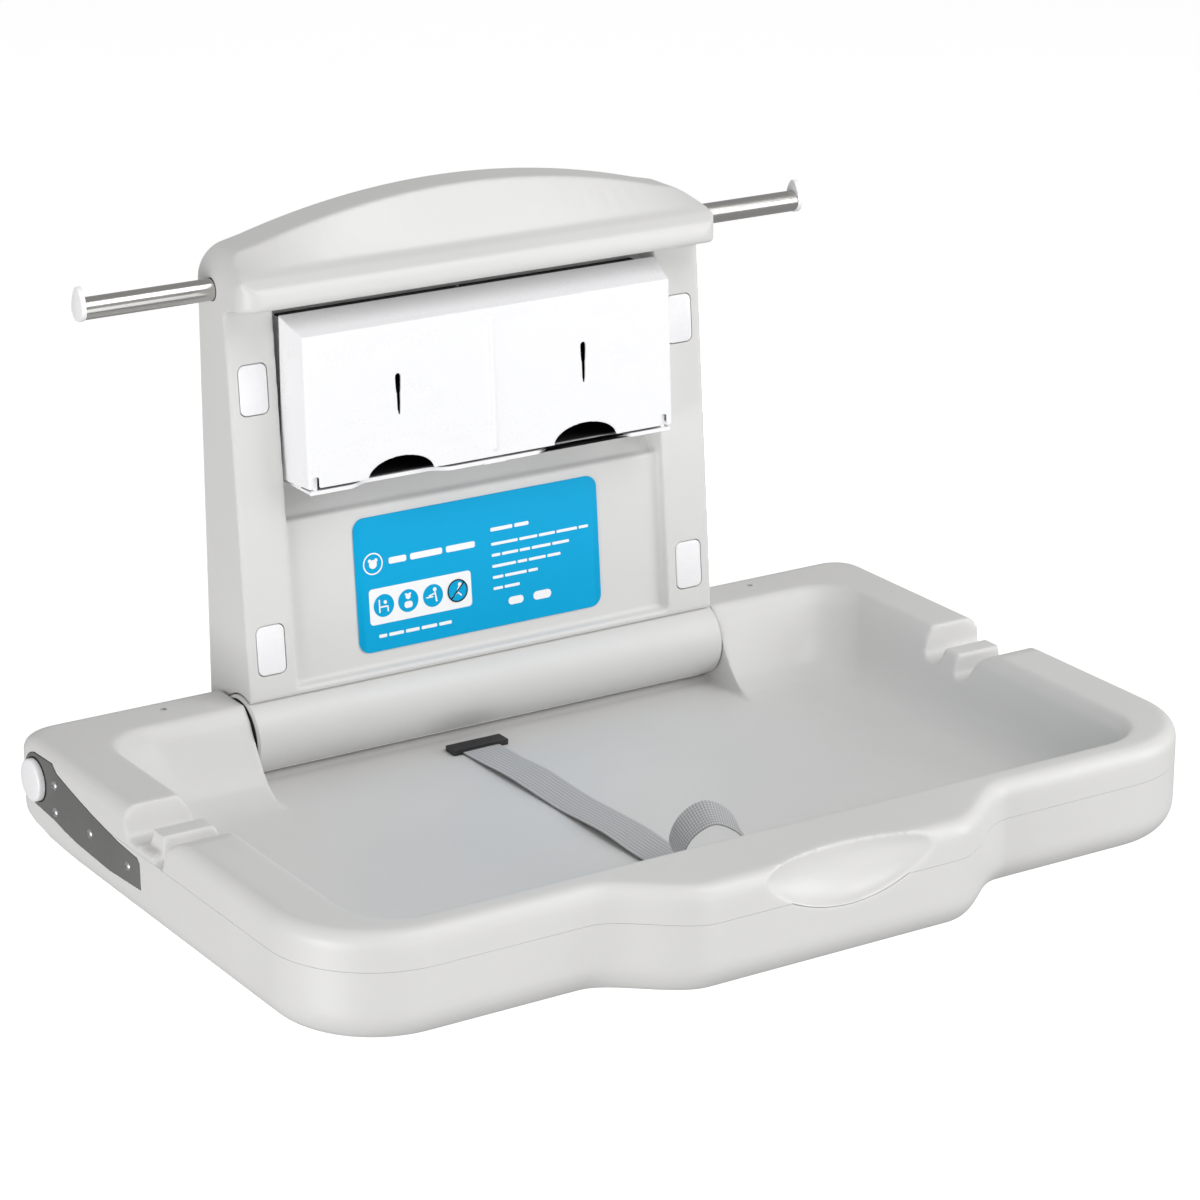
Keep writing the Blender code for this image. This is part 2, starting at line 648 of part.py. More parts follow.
def hinge():
    axis = (HINGE_Y, HINGE_Z)
    shaft = disc_x("shaft", axis, [(-SHAFT_HALF, SHAFT_R), (SHAFT_HALF, SHAFT_R)])
    node(shaft, "hinge_shaft", "zinc_steel")
    roll = disc_x("roll", axis, [(-ROLL_HALF, ROLL_R), (ROLL_HALF, ROLL_R)], 48)
    cut(roll, disc_x("bore", axis, [(-0.3, ROLL_BORE), (0.3, ROLL_BORE)], 32))
    node(roll, "hinge_roll", "body_plastic")
    bore = SHAFT_R + GAP
    pieces = {"bush": (0.2150, ROLL_HALF, ROLL_BORE - GAP, "black_plastic"),
              "damper": (0.1400, 0.2000, ROLL_BORE - GAP, "zinc_steel"),
              "thrust_ring": (ROLL_HALF + GAP, 0.2450, 0.0335, "black_plastic")}
    for side, label in ((-1, "left"), (1, "right")):
        for name, (start, end, radius, finish) in pieces.items():
            ends = sorted((side * start, side * end))
            piece = disc_x(name, axis, [(x, radius) for x in ends], 32)
            cut(piece, shaft_hole(side, bore, start - 0.01, end + 0.01))
            node(piece, f"hinge_{name}_{label}", finish)


# ---------------------------------------------------------------- strap

def ribbon(name, route, width, thick):
    """A flat strap along a (y, height) route of its lower face, from the front to the rear."""
    sides = []
    for i, (y, z) in enumerate(route):
        before = Vector(route[max(i - 1, 0)])
        after = Vector(route[min(i + 1, len(route) - 1)])
        along = (after - before).normalized()
        sides.append((y - along.y * thick, z + along.x * thick))
    outline = [(y, up(z)) for y, z in list(route) + sides[::-1]]
    return prism_x(name, outline, STRAP_X - width / 2, STRAP_X + width / 2)


def anchor(name, y0, y1):
    """Plate that clamps a strap's end to the tray's floor."""
    floor = up(-FLOOR_DEPTH) + GAP
    low = floor + STRAP_THICK + GAP
    bridge = box("bridge", (STRAP_X - 0.028, y0, floor), (STRAP_X + 0.028, y1, low + 0.003))
    tunnel = box("tunnel", (STRAP_X - STRAP_WIDTH / 2 - GAP, y0 - 0.01, floor - 0.01),
                 (STRAP_X + STRAP_WIDTH / 2 + GAP, y1 + 0.01, low))
    node(cut(bridge, tunnel), name, "black_plastic")


def strap():
    """Webbing along the floor: a long part from the rear, a short one that holds the socket."""
    floor = -FLOOR_DEPTH + 2 * GAP
    anchor("strap_anchor_rear", -0.112, -0.096)
    anchor("strap_anchor_front", -0.5165, -0.5065)
    rear = [(BUCKLE_Y + BUCKLE_DEPTH + PLUG_TRAVEL + 0.004, floor), (-0.099, floor)]
    node(ribbon("strap", rear, STRAP_WIDTH, STRAP_THICK), "strap_long", "webbing")
    front = [(-0.5150, floor), (BUCKLE_Y - SOCKET_DEPTH - 0.0005, floor)]
    node(ribbon("strap", front, STRAP_WIDTH, STRAP_THICK), "strap_short", "webbing")


def buckle():
    """Side-release buckle: a socket towards the front, and a plug that draws out rearwards."""
    floor = up(-FLOOR_DEPTH) + GAP
    half, thick = 0.0235, 0.0072
    socket = box("socket", (STRAP_X - half, BUCKLE_Y - SOCKET_DEPTH, floor),
                 (STRAP_X + half, BUCKLE_Y, floor + thick))
    cut(socket, box("mouth", (STRAP_X - half + 0.003, BUCKLE_Y - SOCKET_DEPTH + 0.005, floor + 0.0015),
                    (STRAP_X + half - 0.003, BUCKLE_Y + 0.01, floor + thick - 0.0015)))
    node(socket, "buckle_socket", "black_plastic")
    plug_y = BUCKLE_Y + GAP
    plug = box("plug", (STRAP_X - half + 0.001, plug_y, floor + 0.0004),
               (STRAP_X + half - 0.001, plug_y + BUCKLE_DEPTH, floor + thick - 0.0004))
    for offset in (-0.0165, 0.0, 0.0165):
        prong = box("prong", (STRAP_X + offset - 0.002, BUCKLE_Y - PLUG_TRAVEL, floor + 0.0019),
                    (STRAP_X + offset + 0.002, plug_y + 0.002, floor + thick - 0.0019))
        join(plug, prong)
    cut(plug, box("bar_gap", (STRAP_X - 0.0195, plug_y + 0.0060, floor - 0.01),
                  (STRAP_X + 0.0195, plug_y + 0.0105, floor + 0.02)))
    node(plug, "buckle_plug", "black_plastic")


# ---------------------------------------------------------------- assembly

def hang(axis_name, position, names):
    """An empty on a joint's axis, and the pieces that turn or slide with it."""
    empty = bpy.data.objects.new(axis_name, None)
    empty.empty_display_size = 0.03
    empty.location = position
    bpy.context.collection.objects.link(empty)
    bpy.context.view_layer.update()
    for name in names:
        piece = bpy.data.objects[name]
        piece.parent = empty
        piece.matrix_parent_inverse = empty.matrix_world.inverted()


def main():
    for old in list(bpy.data.objects):
        bpy.data.objects.remove(old)
    wall_plate()
    unit_housing()
    wall_screws()
    label_plate()
    bag_bar()
    dispenser_base()
    dispenser_cover()
    cover_pins()
    hinge()
    upper, lower = tray_shells()
    node(upper, "tray_top", "tray_plastic")
    node(lower, "tray_bottom", "tray_plastic")
    hinge_arm(-1)
    hinge_arm(1)
    strap()
    buckle()

    tray = ["tray_top", "tray_bottom", "hinge_shaft", "strap_long", "strap_short",
            "strap_anchor_rear", "strap_anchor_front", "buckle_socket"]
    for label in ("left", "right"):
        tray += [f"hinge_arm_{label}", f"hinge_cap_{label}"]
        tray += [f"arm_screw_{label}_{number}" for number in range(1, 5)]
    hang("tray_axis", (0.0, HINGE_Y, HINGE_Z), tray)
    hang("cover_axis", (0.0, COVER_HINGE_Y, up(COVER_HINGE_UP)), ["dispenser_cover"])
    hang("plug_axis", (STRAP_X, BUCKLE_Y, up(-FLOOR_DEPTH)), ["buckle_plug"])
    for label, x, height in screw_sites():
        hang(f"cover_pull_{label}", (x, face_y(height), up(height)), [f"screw_cover_{label}"])


main()
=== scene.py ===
"""Looks of the fold-down changing table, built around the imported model."""
import math

import bmesh
import bpy
from mathutils import Matrix, Vector


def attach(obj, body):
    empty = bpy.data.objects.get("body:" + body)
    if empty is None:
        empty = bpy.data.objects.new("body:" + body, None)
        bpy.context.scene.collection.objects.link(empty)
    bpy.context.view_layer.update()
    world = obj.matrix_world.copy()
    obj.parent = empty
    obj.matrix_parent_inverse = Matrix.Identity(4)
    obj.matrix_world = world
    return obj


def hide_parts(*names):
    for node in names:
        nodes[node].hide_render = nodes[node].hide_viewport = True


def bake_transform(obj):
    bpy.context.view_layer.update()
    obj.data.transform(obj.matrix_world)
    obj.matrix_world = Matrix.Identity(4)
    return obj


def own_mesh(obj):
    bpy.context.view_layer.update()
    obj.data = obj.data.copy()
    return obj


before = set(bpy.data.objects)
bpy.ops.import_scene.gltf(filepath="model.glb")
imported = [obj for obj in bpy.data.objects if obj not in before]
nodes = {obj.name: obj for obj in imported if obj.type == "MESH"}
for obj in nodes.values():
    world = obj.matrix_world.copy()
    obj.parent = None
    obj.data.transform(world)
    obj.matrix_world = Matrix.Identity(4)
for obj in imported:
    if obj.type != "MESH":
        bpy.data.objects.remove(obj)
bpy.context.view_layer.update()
SIDES = ((-1, "left"), (1, "right"))

# The part's own driving dimensions, in metres
RIM_Z = -0.1395
HINGE_Y, HINGE_Z = -0.057, RIM_Z - 0.0325
TRAY_HALF, CORNER_FRONT, CENTRE_FRONT, TRAY_REAR = 0.440, 0.572, 0.622, 0.014
TRAY_HEIGHT, FLOOR_DEPTH = 0.096, 0.074
BULGE_IN, BULGE_OUT, CORNER_R = 0.118, 0.208, 0.095
CAVITY_HALF, CAVITY_FRONT = 0.388, 0.546
THROAT_HALF, THROAT_Y = 0.2455, -0.060
ROLL_R, ROLL_HALF = 0.036, 0.2446
UNIT_HALF, UNIT_FOOT, CROWN, ARCH_RISE = 0.2425, -0.066, 0.430, 0.040
ARCH_END_R, HEAD_CORNER_R, SHELL, PLATE = 0.030, 0.022, 0.004, 0.003
FACE_TOP, FACE_BOTTOM, FACE_SPAN = 0.046, 0.076, 0.350
RECESS_HALF, RECESS_SILL, RECESS_TOP, PANEL_INSET = 0.195, 0.155, 0.352, 0.009
BAR_Y, BAR_UP, BAR_R, BAR_HALF = -0.024, 0.364, 0.0097, 0.3635
PIN_UP, COVER_FOOT, COVER_TOP, BASE_FOOT, BASE_FLOOR = 0.1985, 0.1925, 0.3396, 0.1875, 0.1898
MOUTH_X = 0.095
RAIL_X, COVER_UPS, COVER_SIZE = 0.219, {"upper": 0.278, "lower": 0.0465}, (0.027, 0.044)
LABEL_UP, LABEL_HALVES = 0.0835, (0.127, 0.0615)
STRAP_X, STRAP_WIDTH, STRAP_THICK, BUCKLE_Y = -0.030, 0.038, 0.0018, -0.4745
ARM_SCREWS = [(-0.094, -0.026), (-0.0936, -0.0505), (-0.161, -0.0464), (-0.2316, -0.0505)]

# How finely the moulded solids are re-meshed, and how often they are relaxed
TRAY_GRAIN, UNIT_GRAIN, COVER_GRAIN = (0.0023, 5), (0.0020, 5), (0.0010, 3)
SEAM_GAP, TRAY_SKIN, SCOOP_SKIN = 0.00013, 0.004, 0.0016
POCKET_GAP = 0.0009
BASE_HALF, BASE_WALL, LIP_FRONT, LIP_STEPS, EAR_X = 0.1862, 0.0025, -0.0895, 160, 0.1795


def up(height):
    """World height of a level given from the open tray's rim."""
    return RIM_Z + height


def raised(profile):
    """Points (place, level over the rim) as (place, world height)."""
    return [(place, up(level)) for place, level in profile]


def face_y(height):
    """The wall unit's leaning face at a height."""
    return -(FACE_BOTTOM + (FACE_TOP - FACE_BOTTOM) * height / FACE_SPAN)


# ---------------------------------------------------------------- shape helpers

def make(name, bm):
    """An object from a finished bmesh, with its faces turned outwards."""
    bmesh.ops.recalc_face_normals(bm, faces=bm.faces[:])
    mesh = bpy.data.meshes.new(name)
    bm.to_mesh(mesh)
    bm.free()
    obj = bpy.data.objects.new(name, mesh)
    bpy.context.scene.collection.objects.link(obj)
    return obj


def loft(name, rings):
    """A closed body through rings of equal point counts."""
    bm = bmesh.new()
    loops = [[bm.verts.new(point) for point in ring] for ring in rings]
    for low, high in zip(loops, loops[1:]):
        for i in range(len(low)):
            j = (i + 1) % len(low)
            bm.faces.new((low[i], low[j], high[j], high[i]))
    bmesh.ops.triangulate(bm, faces=[bm.faces.new(loops[0]), bm.faces.new(loops[-1])])
    return make(name, bm)


def box(name, low, high):
    (x0, y0, z0), (x1, y1, z1) = low, high
    plan = [(x0, y0), (x1, y0), (x1, y1), (x0, y1)]
    return loft(name, [[(x, y, z) for x, y in plan] for z in (z0, z1)])


def prism_x(name, outline, x0, x1):
    """An outline in (y, z) drawn along X."""
    return loft(name, [[(x, y, z) for y, z in outline] for x in (x0, x1)])


def prism_y(name, outline, y0, y1):
    """An outline in (x, z) drawn along Y."""
    return loft(name, [[(x, y, z) for x, z in outline] for y in (y0, y1)])


def arc(centre, radius, start, end, steps):
    """Points from a start to an end angle in degrees, both included."""
    angles = [math.radians(start + (end - start) * i / steps) for i in range(steps + 1)]
    return [(centre[0] + radius * math.cos(a), centre[1] + radius * math.sin(a)) for a in angles]


def ring(centre, radius, sides):
    return arc(centre, radius, 0, 360 - 360 / sides, sides - 1)


def turned_x(name, profile, centre=(HINGE_Y, HINGE_Z), sides=96):
    """A turned piece on an axis along X; profile is (x, radius)."""
    return loft(name, [[(x, y, z) for y, z in ring(centre, r, sides)] for x, r in profile])


def rounded(half_x, half_z, radius, steps=8):
    """A rectangle's outline with round corners, about its centre."""
    points = []
    for sx, sz, start in ((1, 1, 0), (-1, 1, 90), (-1, -1, 180), (1, -1, 270)):
        centre = (sx * (half_x - radius), sz * (half_z - radius))
        points += arc(centre, radius, start, start + 90, steps)
    return points


def apply_modifiers(obj):
    """Makes the evaluated mesh the object's own, so that later cuts work on it."""
    graph = bpy.context.evaluated_depsgraph_get()
    mesh = bpy.data.meshes.new_from_object(obj.evaluated_get(graph))
    obj.modifiers.clear()
    obj.data = mesh
    return obj


def combine(target, operation, others):
    """One boolean after another on the target. The tools are used up."""
    for other in others:
        modifier = target.modifiers.new("boolean", "BOOLEAN")
        modifier.operation = operation
        modifier.solver = "MANIFOLD"
        modifier.object = other
        apply_modifiers(target)
        bpy.data.objects.remove(other)
    return target


def cut(target, *others):
    return combine(target, "DIFFERENCE", others)


def join(target, *others):
    return combine(target, "UNION", others)


def keep(target, *others):
    return combine(target, "INTERSECT", others)


def duplicate(obj, name):
    twin = bpy.data.objects.new(name, obj.data.copy())
    bpy.context.scene.collection.objects.link(twin)
    return twin


def soften(obj, voxel, passes):
    """Re-meshes a solid evenly and relaxes it, so that each edge gets a moulded radius."""
    remesh = obj.modifiers.new("remesh", "REMESH")
    remesh.mode = "VOXEL"
    remesh.voxel_size = voxel
    relax = obj.modifiers.new("relax", "SMOOTH")
    relax.factor = 0.5
    relax.iterations = passes
    return apply_modifiers(obj)


def bevelled(obj, width, segments):
    """Rounds the edges sharper than 30 degrees."""
    modifier = obj.modifiers.new("bevel", "BEVEL")
    modifier.width = width
    modifier.segments = segments
    modifier.limit_method = "ANGLE"
    modifier.angle_limit = math.radians(30)
    return apply_modifiers(obj)


def finish(obj, name, body, material, slot, *replaced, sharp=35):
    """Names a piece, shades it, gives it its material and body, and hides what it stands for.

    A piece that blends between two bodies is given none here.
    """
    obj.name = name
    obj.data.name = name
    obj.data.materials.clear()
    obj.data.materials.append(material)
    obj.data.shade_smooth()
    obj.data.set_sharp_from_angle(angle=math.radians(sharp))
    if body:
        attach(obj, body)
    if replaced:
        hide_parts(*replaced)
    return obj


# ---------------------------------------------------------------- materials

class Shader:
    """A material's node tree, with short calls for the nodes that the finishes share."""

    def __init__(self, name):
        self.material = bpy.data.materials.new(name)
        self.material.use_nodes = True
        self.tree = self.material.node_tree
        self.surface = self.tree.nodes["Principled BSDF"]
        self.place = self.tree.nodes.new("ShaderNodeTexCoord").outputs["Object"]

    def node(self, kind, inputs=(), **settings):
        made = self.tree.nodes.new(kind)
        for key, value in settings.items():
            setattr(made, key, value)
        for key, value in dict(inputs).items():
            if isinstance(value, bpy.types.NodeSocket):
                self.tree.links.new(value, made.inputs[key])
            else:
                made.inputs[key].default_value = value
        return made

    def noise(self, scale, detail=3.0, stretch=(1, 1, 1), roughness=0.55):
        where = self.node("ShaderNodeMapping", {"Vector": self.place, "Scale": stretch})
        made = self.node("ShaderNodeTexNoise", {"Vector": where.outputs[0], "Scale": scale,
                                                "Detail": detail, "Roughness": roughness})
        return made.outputs["Fac"]

    def remap(self, value, low, high, out_low, out_high):
        made = self.node("ShaderNodeMapRange", {"Value": value, "From Min": low, "From Max": high,
                                                "To Min": out_low, "To Max": out_high})
        return made.outputs["Result"]

    def mix(self, factor, a, b):
        made = self.node("ShaderNodeMix", data_type="RGBA")
        for socket, value in zip((made.inputs[0], made.inputs[6], made.inputs[7]), (factor, a, b)):
            if isinstance(value, bpy.types.NodeSocket):
                self.tree.links.new(value, socket)
            else:
                socket.default_value = value
        return made.outputs[2]

    def maths(self, operation, a, b=0.0):
        return self.node("ShaderNodeMath", {0: a, 1: b}, operation=operation).outputs[0]

    def bump(self, height, distance, strength):
        inputs = {"Height": height, "Distance": distance, "Strength": strength}
        return self.node("ShaderNodeBump", inputs).outputs[0]

    def set(self, **inputs):
        names = {"colour": "Base Color", "roughness": "Roughness", "normal": "Normal",
                 "metallic": "Metallic", "anisotropic": "Anisotropic", "specular": "Specular IOR Level",
                 "sheen": "Sheen Weight", "sheen_roughness": "Sheen Roughness",
                 "glow": "Emission Color", "glow_strength": "Emission Strength"}
        for key, value in inputs.items():
            socket = self.surface.inputs[names[key]]
            if isinstance(value, bpy.types.NodeSocket):
                self.tree.links.new(value, socket)
            else:
                socket.default_value = value
        return self.material


def rgba(colour, scale=1.0):
    """A linear colour with its alpha, lightened or darkened by a scale."""
    return (*(c * scale for c in colour), 1.0)


def moulded(name, colour, roughness, grain=0.00005, dirt=0.03):
    """Moulded plastic: a fine spark-eroded grain, faint flow marks, edges rubbed a little lighter."""
    s = Shader(name)
    cloud = s.noise(5.0, 4.0)
    flow = s.noise(11.0, 3.0, (0.5, 2.0, 1.0))
    fine = s.noise(900.0, 2.0)
    tone = s.mix(s.remap(cloud, 0.3, 0.7, 0.0, 1.0), rgba(colour, 1.0 - dirt),
                 rgba(colour, 1.0 + 0.3 * dirt))
    worn = s.node("ShaderNodeNewGeometry").outputs["Pointiness"]
    tone = s.mix(s.remap(worn, 0.52, 0.60, 0.0, 0.35), tone, rgba([min(1.0, c * 1.12) for c in colour]))
    uneven = s.maths("ADD", flow, s.maths("MULTIPLY", fine, 0.5))
    gloss = s.remap(uneven, 0.5, 1.0, roughness - 0.05, roughness + 0.07)
    return s.set(colour=tone, roughness=gloss, normal=s.bump(fine, grain, 0.6))


body_plastic = moulded("moulded_body", (0.710, 0.707, 0.697), 0.36)
tray_plastic = moulded("moulded_tray", (0.706, 0.702, 0.692), 0.40)
white_plastic = moulded("moulded_white", (0.90, 0.90, 0.915), 0.28, grain=0.00002, dirt=0.015)
black_plastic = moulded("moulded_black", (0.018, 0.018, 0.019), 0.42)
# A near-black that stands in for shade: painted shade round the arm caps, in the bar's holes and inside the
# dispenser.
painted_shade_black = moulded("painted_shade_black", (0.012, 0.012, 0.012), 0.7)


def steel(name, colour, roughness, axis_stretch, scratch):
    """Metal polished in one direction: long fine scratches in roughness and relief."""
    s = Shader(name)
    lines = s.noise(60.0, 6.0, axis_stretch, 0.7)
    smudge = s.noise(14.0, 3.0)
    tone = s.mix(lines, rgba(colour, 0.86), rgba(colour, 1.06))
    uneven = s.maths("ADD", lines, s.maths("MULTIPLY", smudge, 0.4))
    gloss = s.remap(uneven, 0.4, 1.0, roughness, roughness + 0.12)
    return s.set(colour=tone, metallic=1.0, roughness=gloss, normal=s.bump(lines, scratch, 0.5),
                 anisotropic=0.4)


bar_steel = steel("brushed_bar", (0.56, 0.55, 0.53), 0.14, (0.4, 60.0, 60.0), 0.00004)
zinc_steel = steel("zinc_steel", (0.60, 0.60, 0.62), 0.30, (6.0, 6.0, 6.0), 0.00003)


def painted(name, colour):
    """Powder-coated steel: a fine orange-peel and slightly lighter rubbed edges."""
    s = Shader(name)
    peel = s.noise(420.0, 2.0)
    cloud = s.noise(24.0, 4.0)
    tone = s.mix(cloud, rgba(colour, 0.86), rgba(colour, 1.16))
    worn = s.node("ShaderNodeNewGeometry").outputs["Pointiness"]
    tone = s.mix(s.remap(worn, 0.53, 0.62, 0.0, 0.6), tone, rgba(colour, 2.4))
    return s.set(colour=tone, roughness=s.remap(peel, 0.3, 0.7, 0.40, 0.54),
                 normal=s.bump(peel, 0.00008, 0.7))


grey_paint = painted("grey_powder_coat", (0.125, 0.125, 0.122))


def film(name, colour):
    """Printed polyester film with a matt laminate."""
    s = Shader(name)
    fine = s.noise(700.0, 2.0)
    cloud = s.noise(9.0, 2.0)
    tone = s.mix(cloud, rgba(colour, 0.96), rgba(colour, 1.03))
    return s.set(colour=tone, roughness=s.remap(fine, 0.3, 0.7, 0.44, 0.56),
                 normal=s.bump(fine, 0.00001, 0.4), specular=0.12)


label_blue = film("label_blue", (0.0, 0.375, 0.690))
label_white = film("label_white", (0.93, 0.94, 0.95))
label_black = film("label_black", (0.012, 0.014, 0.016))


def woven(name, colour):
    """Webbing: warp ribs along its length, crossed by the weft."""
    s = Shader(name)
    unrolled = s.node("ShaderNodeUVMap", uv_map="along").outputs[0]
    place = s.node("ShaderNodeSeparateXYZ", {0: unrolled})
    across, along = place.outputs[0], place.outputs[1]
    ribs = s.maths("SINE", s.maths("MULTIPLY", across, 2 * math.pi / 0.0076))
    rows = s.maths("SINE", s.maths("MULTIPLY", along, 2 * math.pi / 0.0024))
    weave = s.maths("MULTIPLY", s.maths("ADD", s.maths("ABSOLUTE", ribs), 0.35),
                    s.maths("ADD", rows, 1.6))
    fluff = s.noise(2600.0, 2.0)
    height = s.maths("ADD", s.maths("MULTIPLY", weave, 0.4), s.maths("MULTIPLY", fluff, 0.5))
    tone = s.mix(s.remap(weave, 0.2, 3.4, 0.0, 1.0), rgba(colour, 0.55), rgba(colour, 1.20))
    return s.set(colour=tone, roughness=s.remap(fluff, 0.3, 0.7, 0.72, 0.95),
                 normal=s.bump(height, 0.0005, 0.8), sheen=0.35, sheen_roughness=0.5)


webbing = woven("grey_webbing", (0.56, 0.56, 0.575))


# ---------------------------------------------------------------- tray

def mirrored(right):
    """A closed outline from its right half, which starts and ends on the centre line."""
    return right + [(-x, y) for x, y in reversed(right[1:-1])]


def tray_outline(inset):
    """The tray's plan, drawn in by inset: a bulged front, wide front corners, tight rear ones."""
    half, rear = TRAY_HALF - inset, -(TRAY_REAR + inset)
    front, middle = -(CORNER_FRONT - inset), -(CENTRE_FRONT - inset)
    radius, rear_radius = CORNER_R - inset, 0.024
    right = [(0.0, middle), (0.03, middle), (0.07, middle)]
    for i in range(25):
        t = i / 24
        ease = t * t * (3 - 2 * t)
        right.append((BULGE_IN + (BULGE_OUT - BULGE_IN) * t, middle + (front - middle) * ease))
    right += [(x, front) for x in (0.222, 0.240, 0.262, 0.286, 0.310, 0.330)]
    right += arc((half - radius, front + radius), radius, -90, 0, 24)
    right += [(half, -0.40), (half, -0.30), (half, -0.20), (half, -0.10)]
    right += arc((half - rear_radius, rear - rear_radius), rear_radius, 0, 90, 10)
    right += [(0.35, rear), (0.25, rear), (0.0, rear)]
    return mirrored(right)


def tray_block():
    """Outer body, with the rim's and the foot's radii."""
    top_r, foot_r, steps = 0.0135, 0.026, 10
    levels = []
    for i in range(steps + 1):
        a = math.radians(90 - 90 * i / steps)
        levels.append((-TRAY_HEIGHT + foot_r * (1 - math.sin(a)), foot_r * (1 - math.cos(a))))
    for i in range(steps + 1):
        a = math.radians(90 * i / steps)
        levels.append((-top_r * (1 - math.sin(a)), top_r * (1 - math.cos(a))))
    block = loft("tray_block", [[(x, y, up(z)) for x, y in tray_outline(inset)] for z, inset in levels])
    belly = [(-0.290, -0.0975), (-0.250, -0.096), (-0.172, -0.0935), (-0.120, -0.089), (-0.077, -0.083),
             (-0.050, -0.0755), (-0.030, -0.068), (0.02, -0.045), (0.02, -0.2), (-0.290, -0.2)]
    return cut(block, prism_x("belly", raised(belly), -0.5, 0.5))


def cavity_outline(inset, rear):
    half, front, radius = CAVITY_HALF - inset, -CAVITY_FRONT + 0.45 * inset, 0.055
    right = [(0.0, front), (0.10, front), (0.22, front)]
    right += arc((half - radius, front + radius), radius, -90, 0, 16)
    right += [(half, -0.42), (half, -0.33), (half, -0.22)]
    right += arc((half - 0.045, rear - 0.045), 0.045, 0, 90, 14)
    right += [(0.27, rear), (0.2, rear), (0.0, rear)]
    return mirrored(right)


def cavity(grow=0.0):
    """Where the child lies: flared at the rim, a wide radius down to the floor."""
    levels = [(-0.074, 0.064, -0.152), (-0.0730, 0.054, -0.140), (-0.0700, 0.043, -0.128),
              (-0.0650, 0.0350, -0.119), (-0.0600, 0.0290, -0.112), (-0.0510, 0.0225, -0.104),
              (-0.0420, 0.0180, -0.098), (-0.0250, 0.0120, -0.088), (-0.0120, 0.0075, -0.081),
              (-0.0060, 0.0035, -0.076), (-0.0018, 0.0008, -0.0725), (0.0, -0.0020, -0.069),
              (0.02, -0.0020, -0.069)]
    rings = []
    for z, inset, rear in levels:
        level = up(z - (grow if z <= 0.0 else 0.0))
        rings.append([(x, y, level) for x, y in cavity_outline(inset - grow, rear + grow)])
    throat = box("throat", (-THROAT_HALF - grow, -0.20, up(-FLOOR_DEPTH - grow)),
                 (THROAT_HALF + grow, 0.0, up(0.02)))
    return join(loft("cavity", rings), throat)


def bag_notch(side):
    """Two slots with a hook between them across one side rim, and the ramp in front of them."""
    profile = [(-0.2255, 0.02), (-0.2265, 0.0), (-0.2290, -0.020), (-0.2310, -0.0250),
               (-0.2345, -0.0270), (-0.2510, -0.0270), (-0.2528, -0.0225), (-0.2545, -0.0120),
               (-0.2755, -0.0120), (-0.2770, -0.0275), (-0.2800, -0.0315), (-0.2900, -0.0315),
               (-0.2945, -0.0300), (-0.3000, -0.0150), (-0.3060, -0.0080), (-0.3150, -0.0030),
               (-0.3290, 0.0), (-0.3290, 0.02)]
    slots = prism_x("notch", raised(profile), *sorted((side * 0.355, side * 0.46)))
    ends = sorted((side * 0.428, side * 0.455))
    return join(slots, box("hook_end", (ends[0], -0.279, up(-0.0265)), (ends[1], -0.252, up(0.019))))


def finger_scoop(grow=0.0):
    """A pointed oval hollow at the edge between the rim and the front."""
    centre_x, centre_up, half_long, half_deep, half_tall = 0.010, -0.010, 0.083, 0.021, 0.034
    angles = [2 * math.pi * k / 48 for k in range(48)]
    rings = []
    for i in range(65):
        t = i / 32 - 1
        swell = (1 - t * t) ** 0.8 + 0.004
        deep, tall = half_deep * swell + grow, half_tall * swell + grow
        x = centre_x + (half_long + grow) * t
        rings.append([(x, -CENTRE_FRONT + deep * math.cos(a), up(centre_up) + tall * math.sin(a))
                      for a in angles])
    return loft("scoop", rings)


def floor_lip():
    """A low lip along the floor's rear edge, below the roll."""
    return box("lip", (-THROAT_HALF - 0.002, THROAT_Y - 0.008, up(-FLOOR_DEPTH - 0.002)),
               (THROAT_HALF + 0.002, THROAT_Y - 0.0001, up(-FLOOR_DEPTH + 0.0045)))


def offset(outline, distance):
    """A closed outline moved outwards along its corners' normals."""
    moved = []
    for i, point in enumerate(outline):
        here = Vector(point)
        before = (here - Vector(outline[i - 1])).normalized()
        after = (Vector(outline[(i + 1) % len(outline)]) - here).normalized()
        normal = (Vector((before.y, -before.x)) + Vector((after.y, -after.x))).normalized()
        moved.append(tuple(here + normal * distance))
    return moved


def arm_outline(grow=0.0):
    eye = arc((HINGE_Y, HINGE_Z - RIM_Z), 0.0235, 270, 440, 30)
    blade = [(-0.088, -0.0085), (-0.0945, -0.0118), (-0.100, -0.0145), (-0.130, -0.0212), (-0.165, -0.028),
             (-0.215, -0.0355), (-0.249, -0.0375), (-0.253, -0.041), (-0.254, -0.064), (-0.195, -0.067),
             (-0.134, -0.0645), (-0.110, -0.0618), (-0.090, -0.0585)]
    return raised(offset(eye + blade, grow))


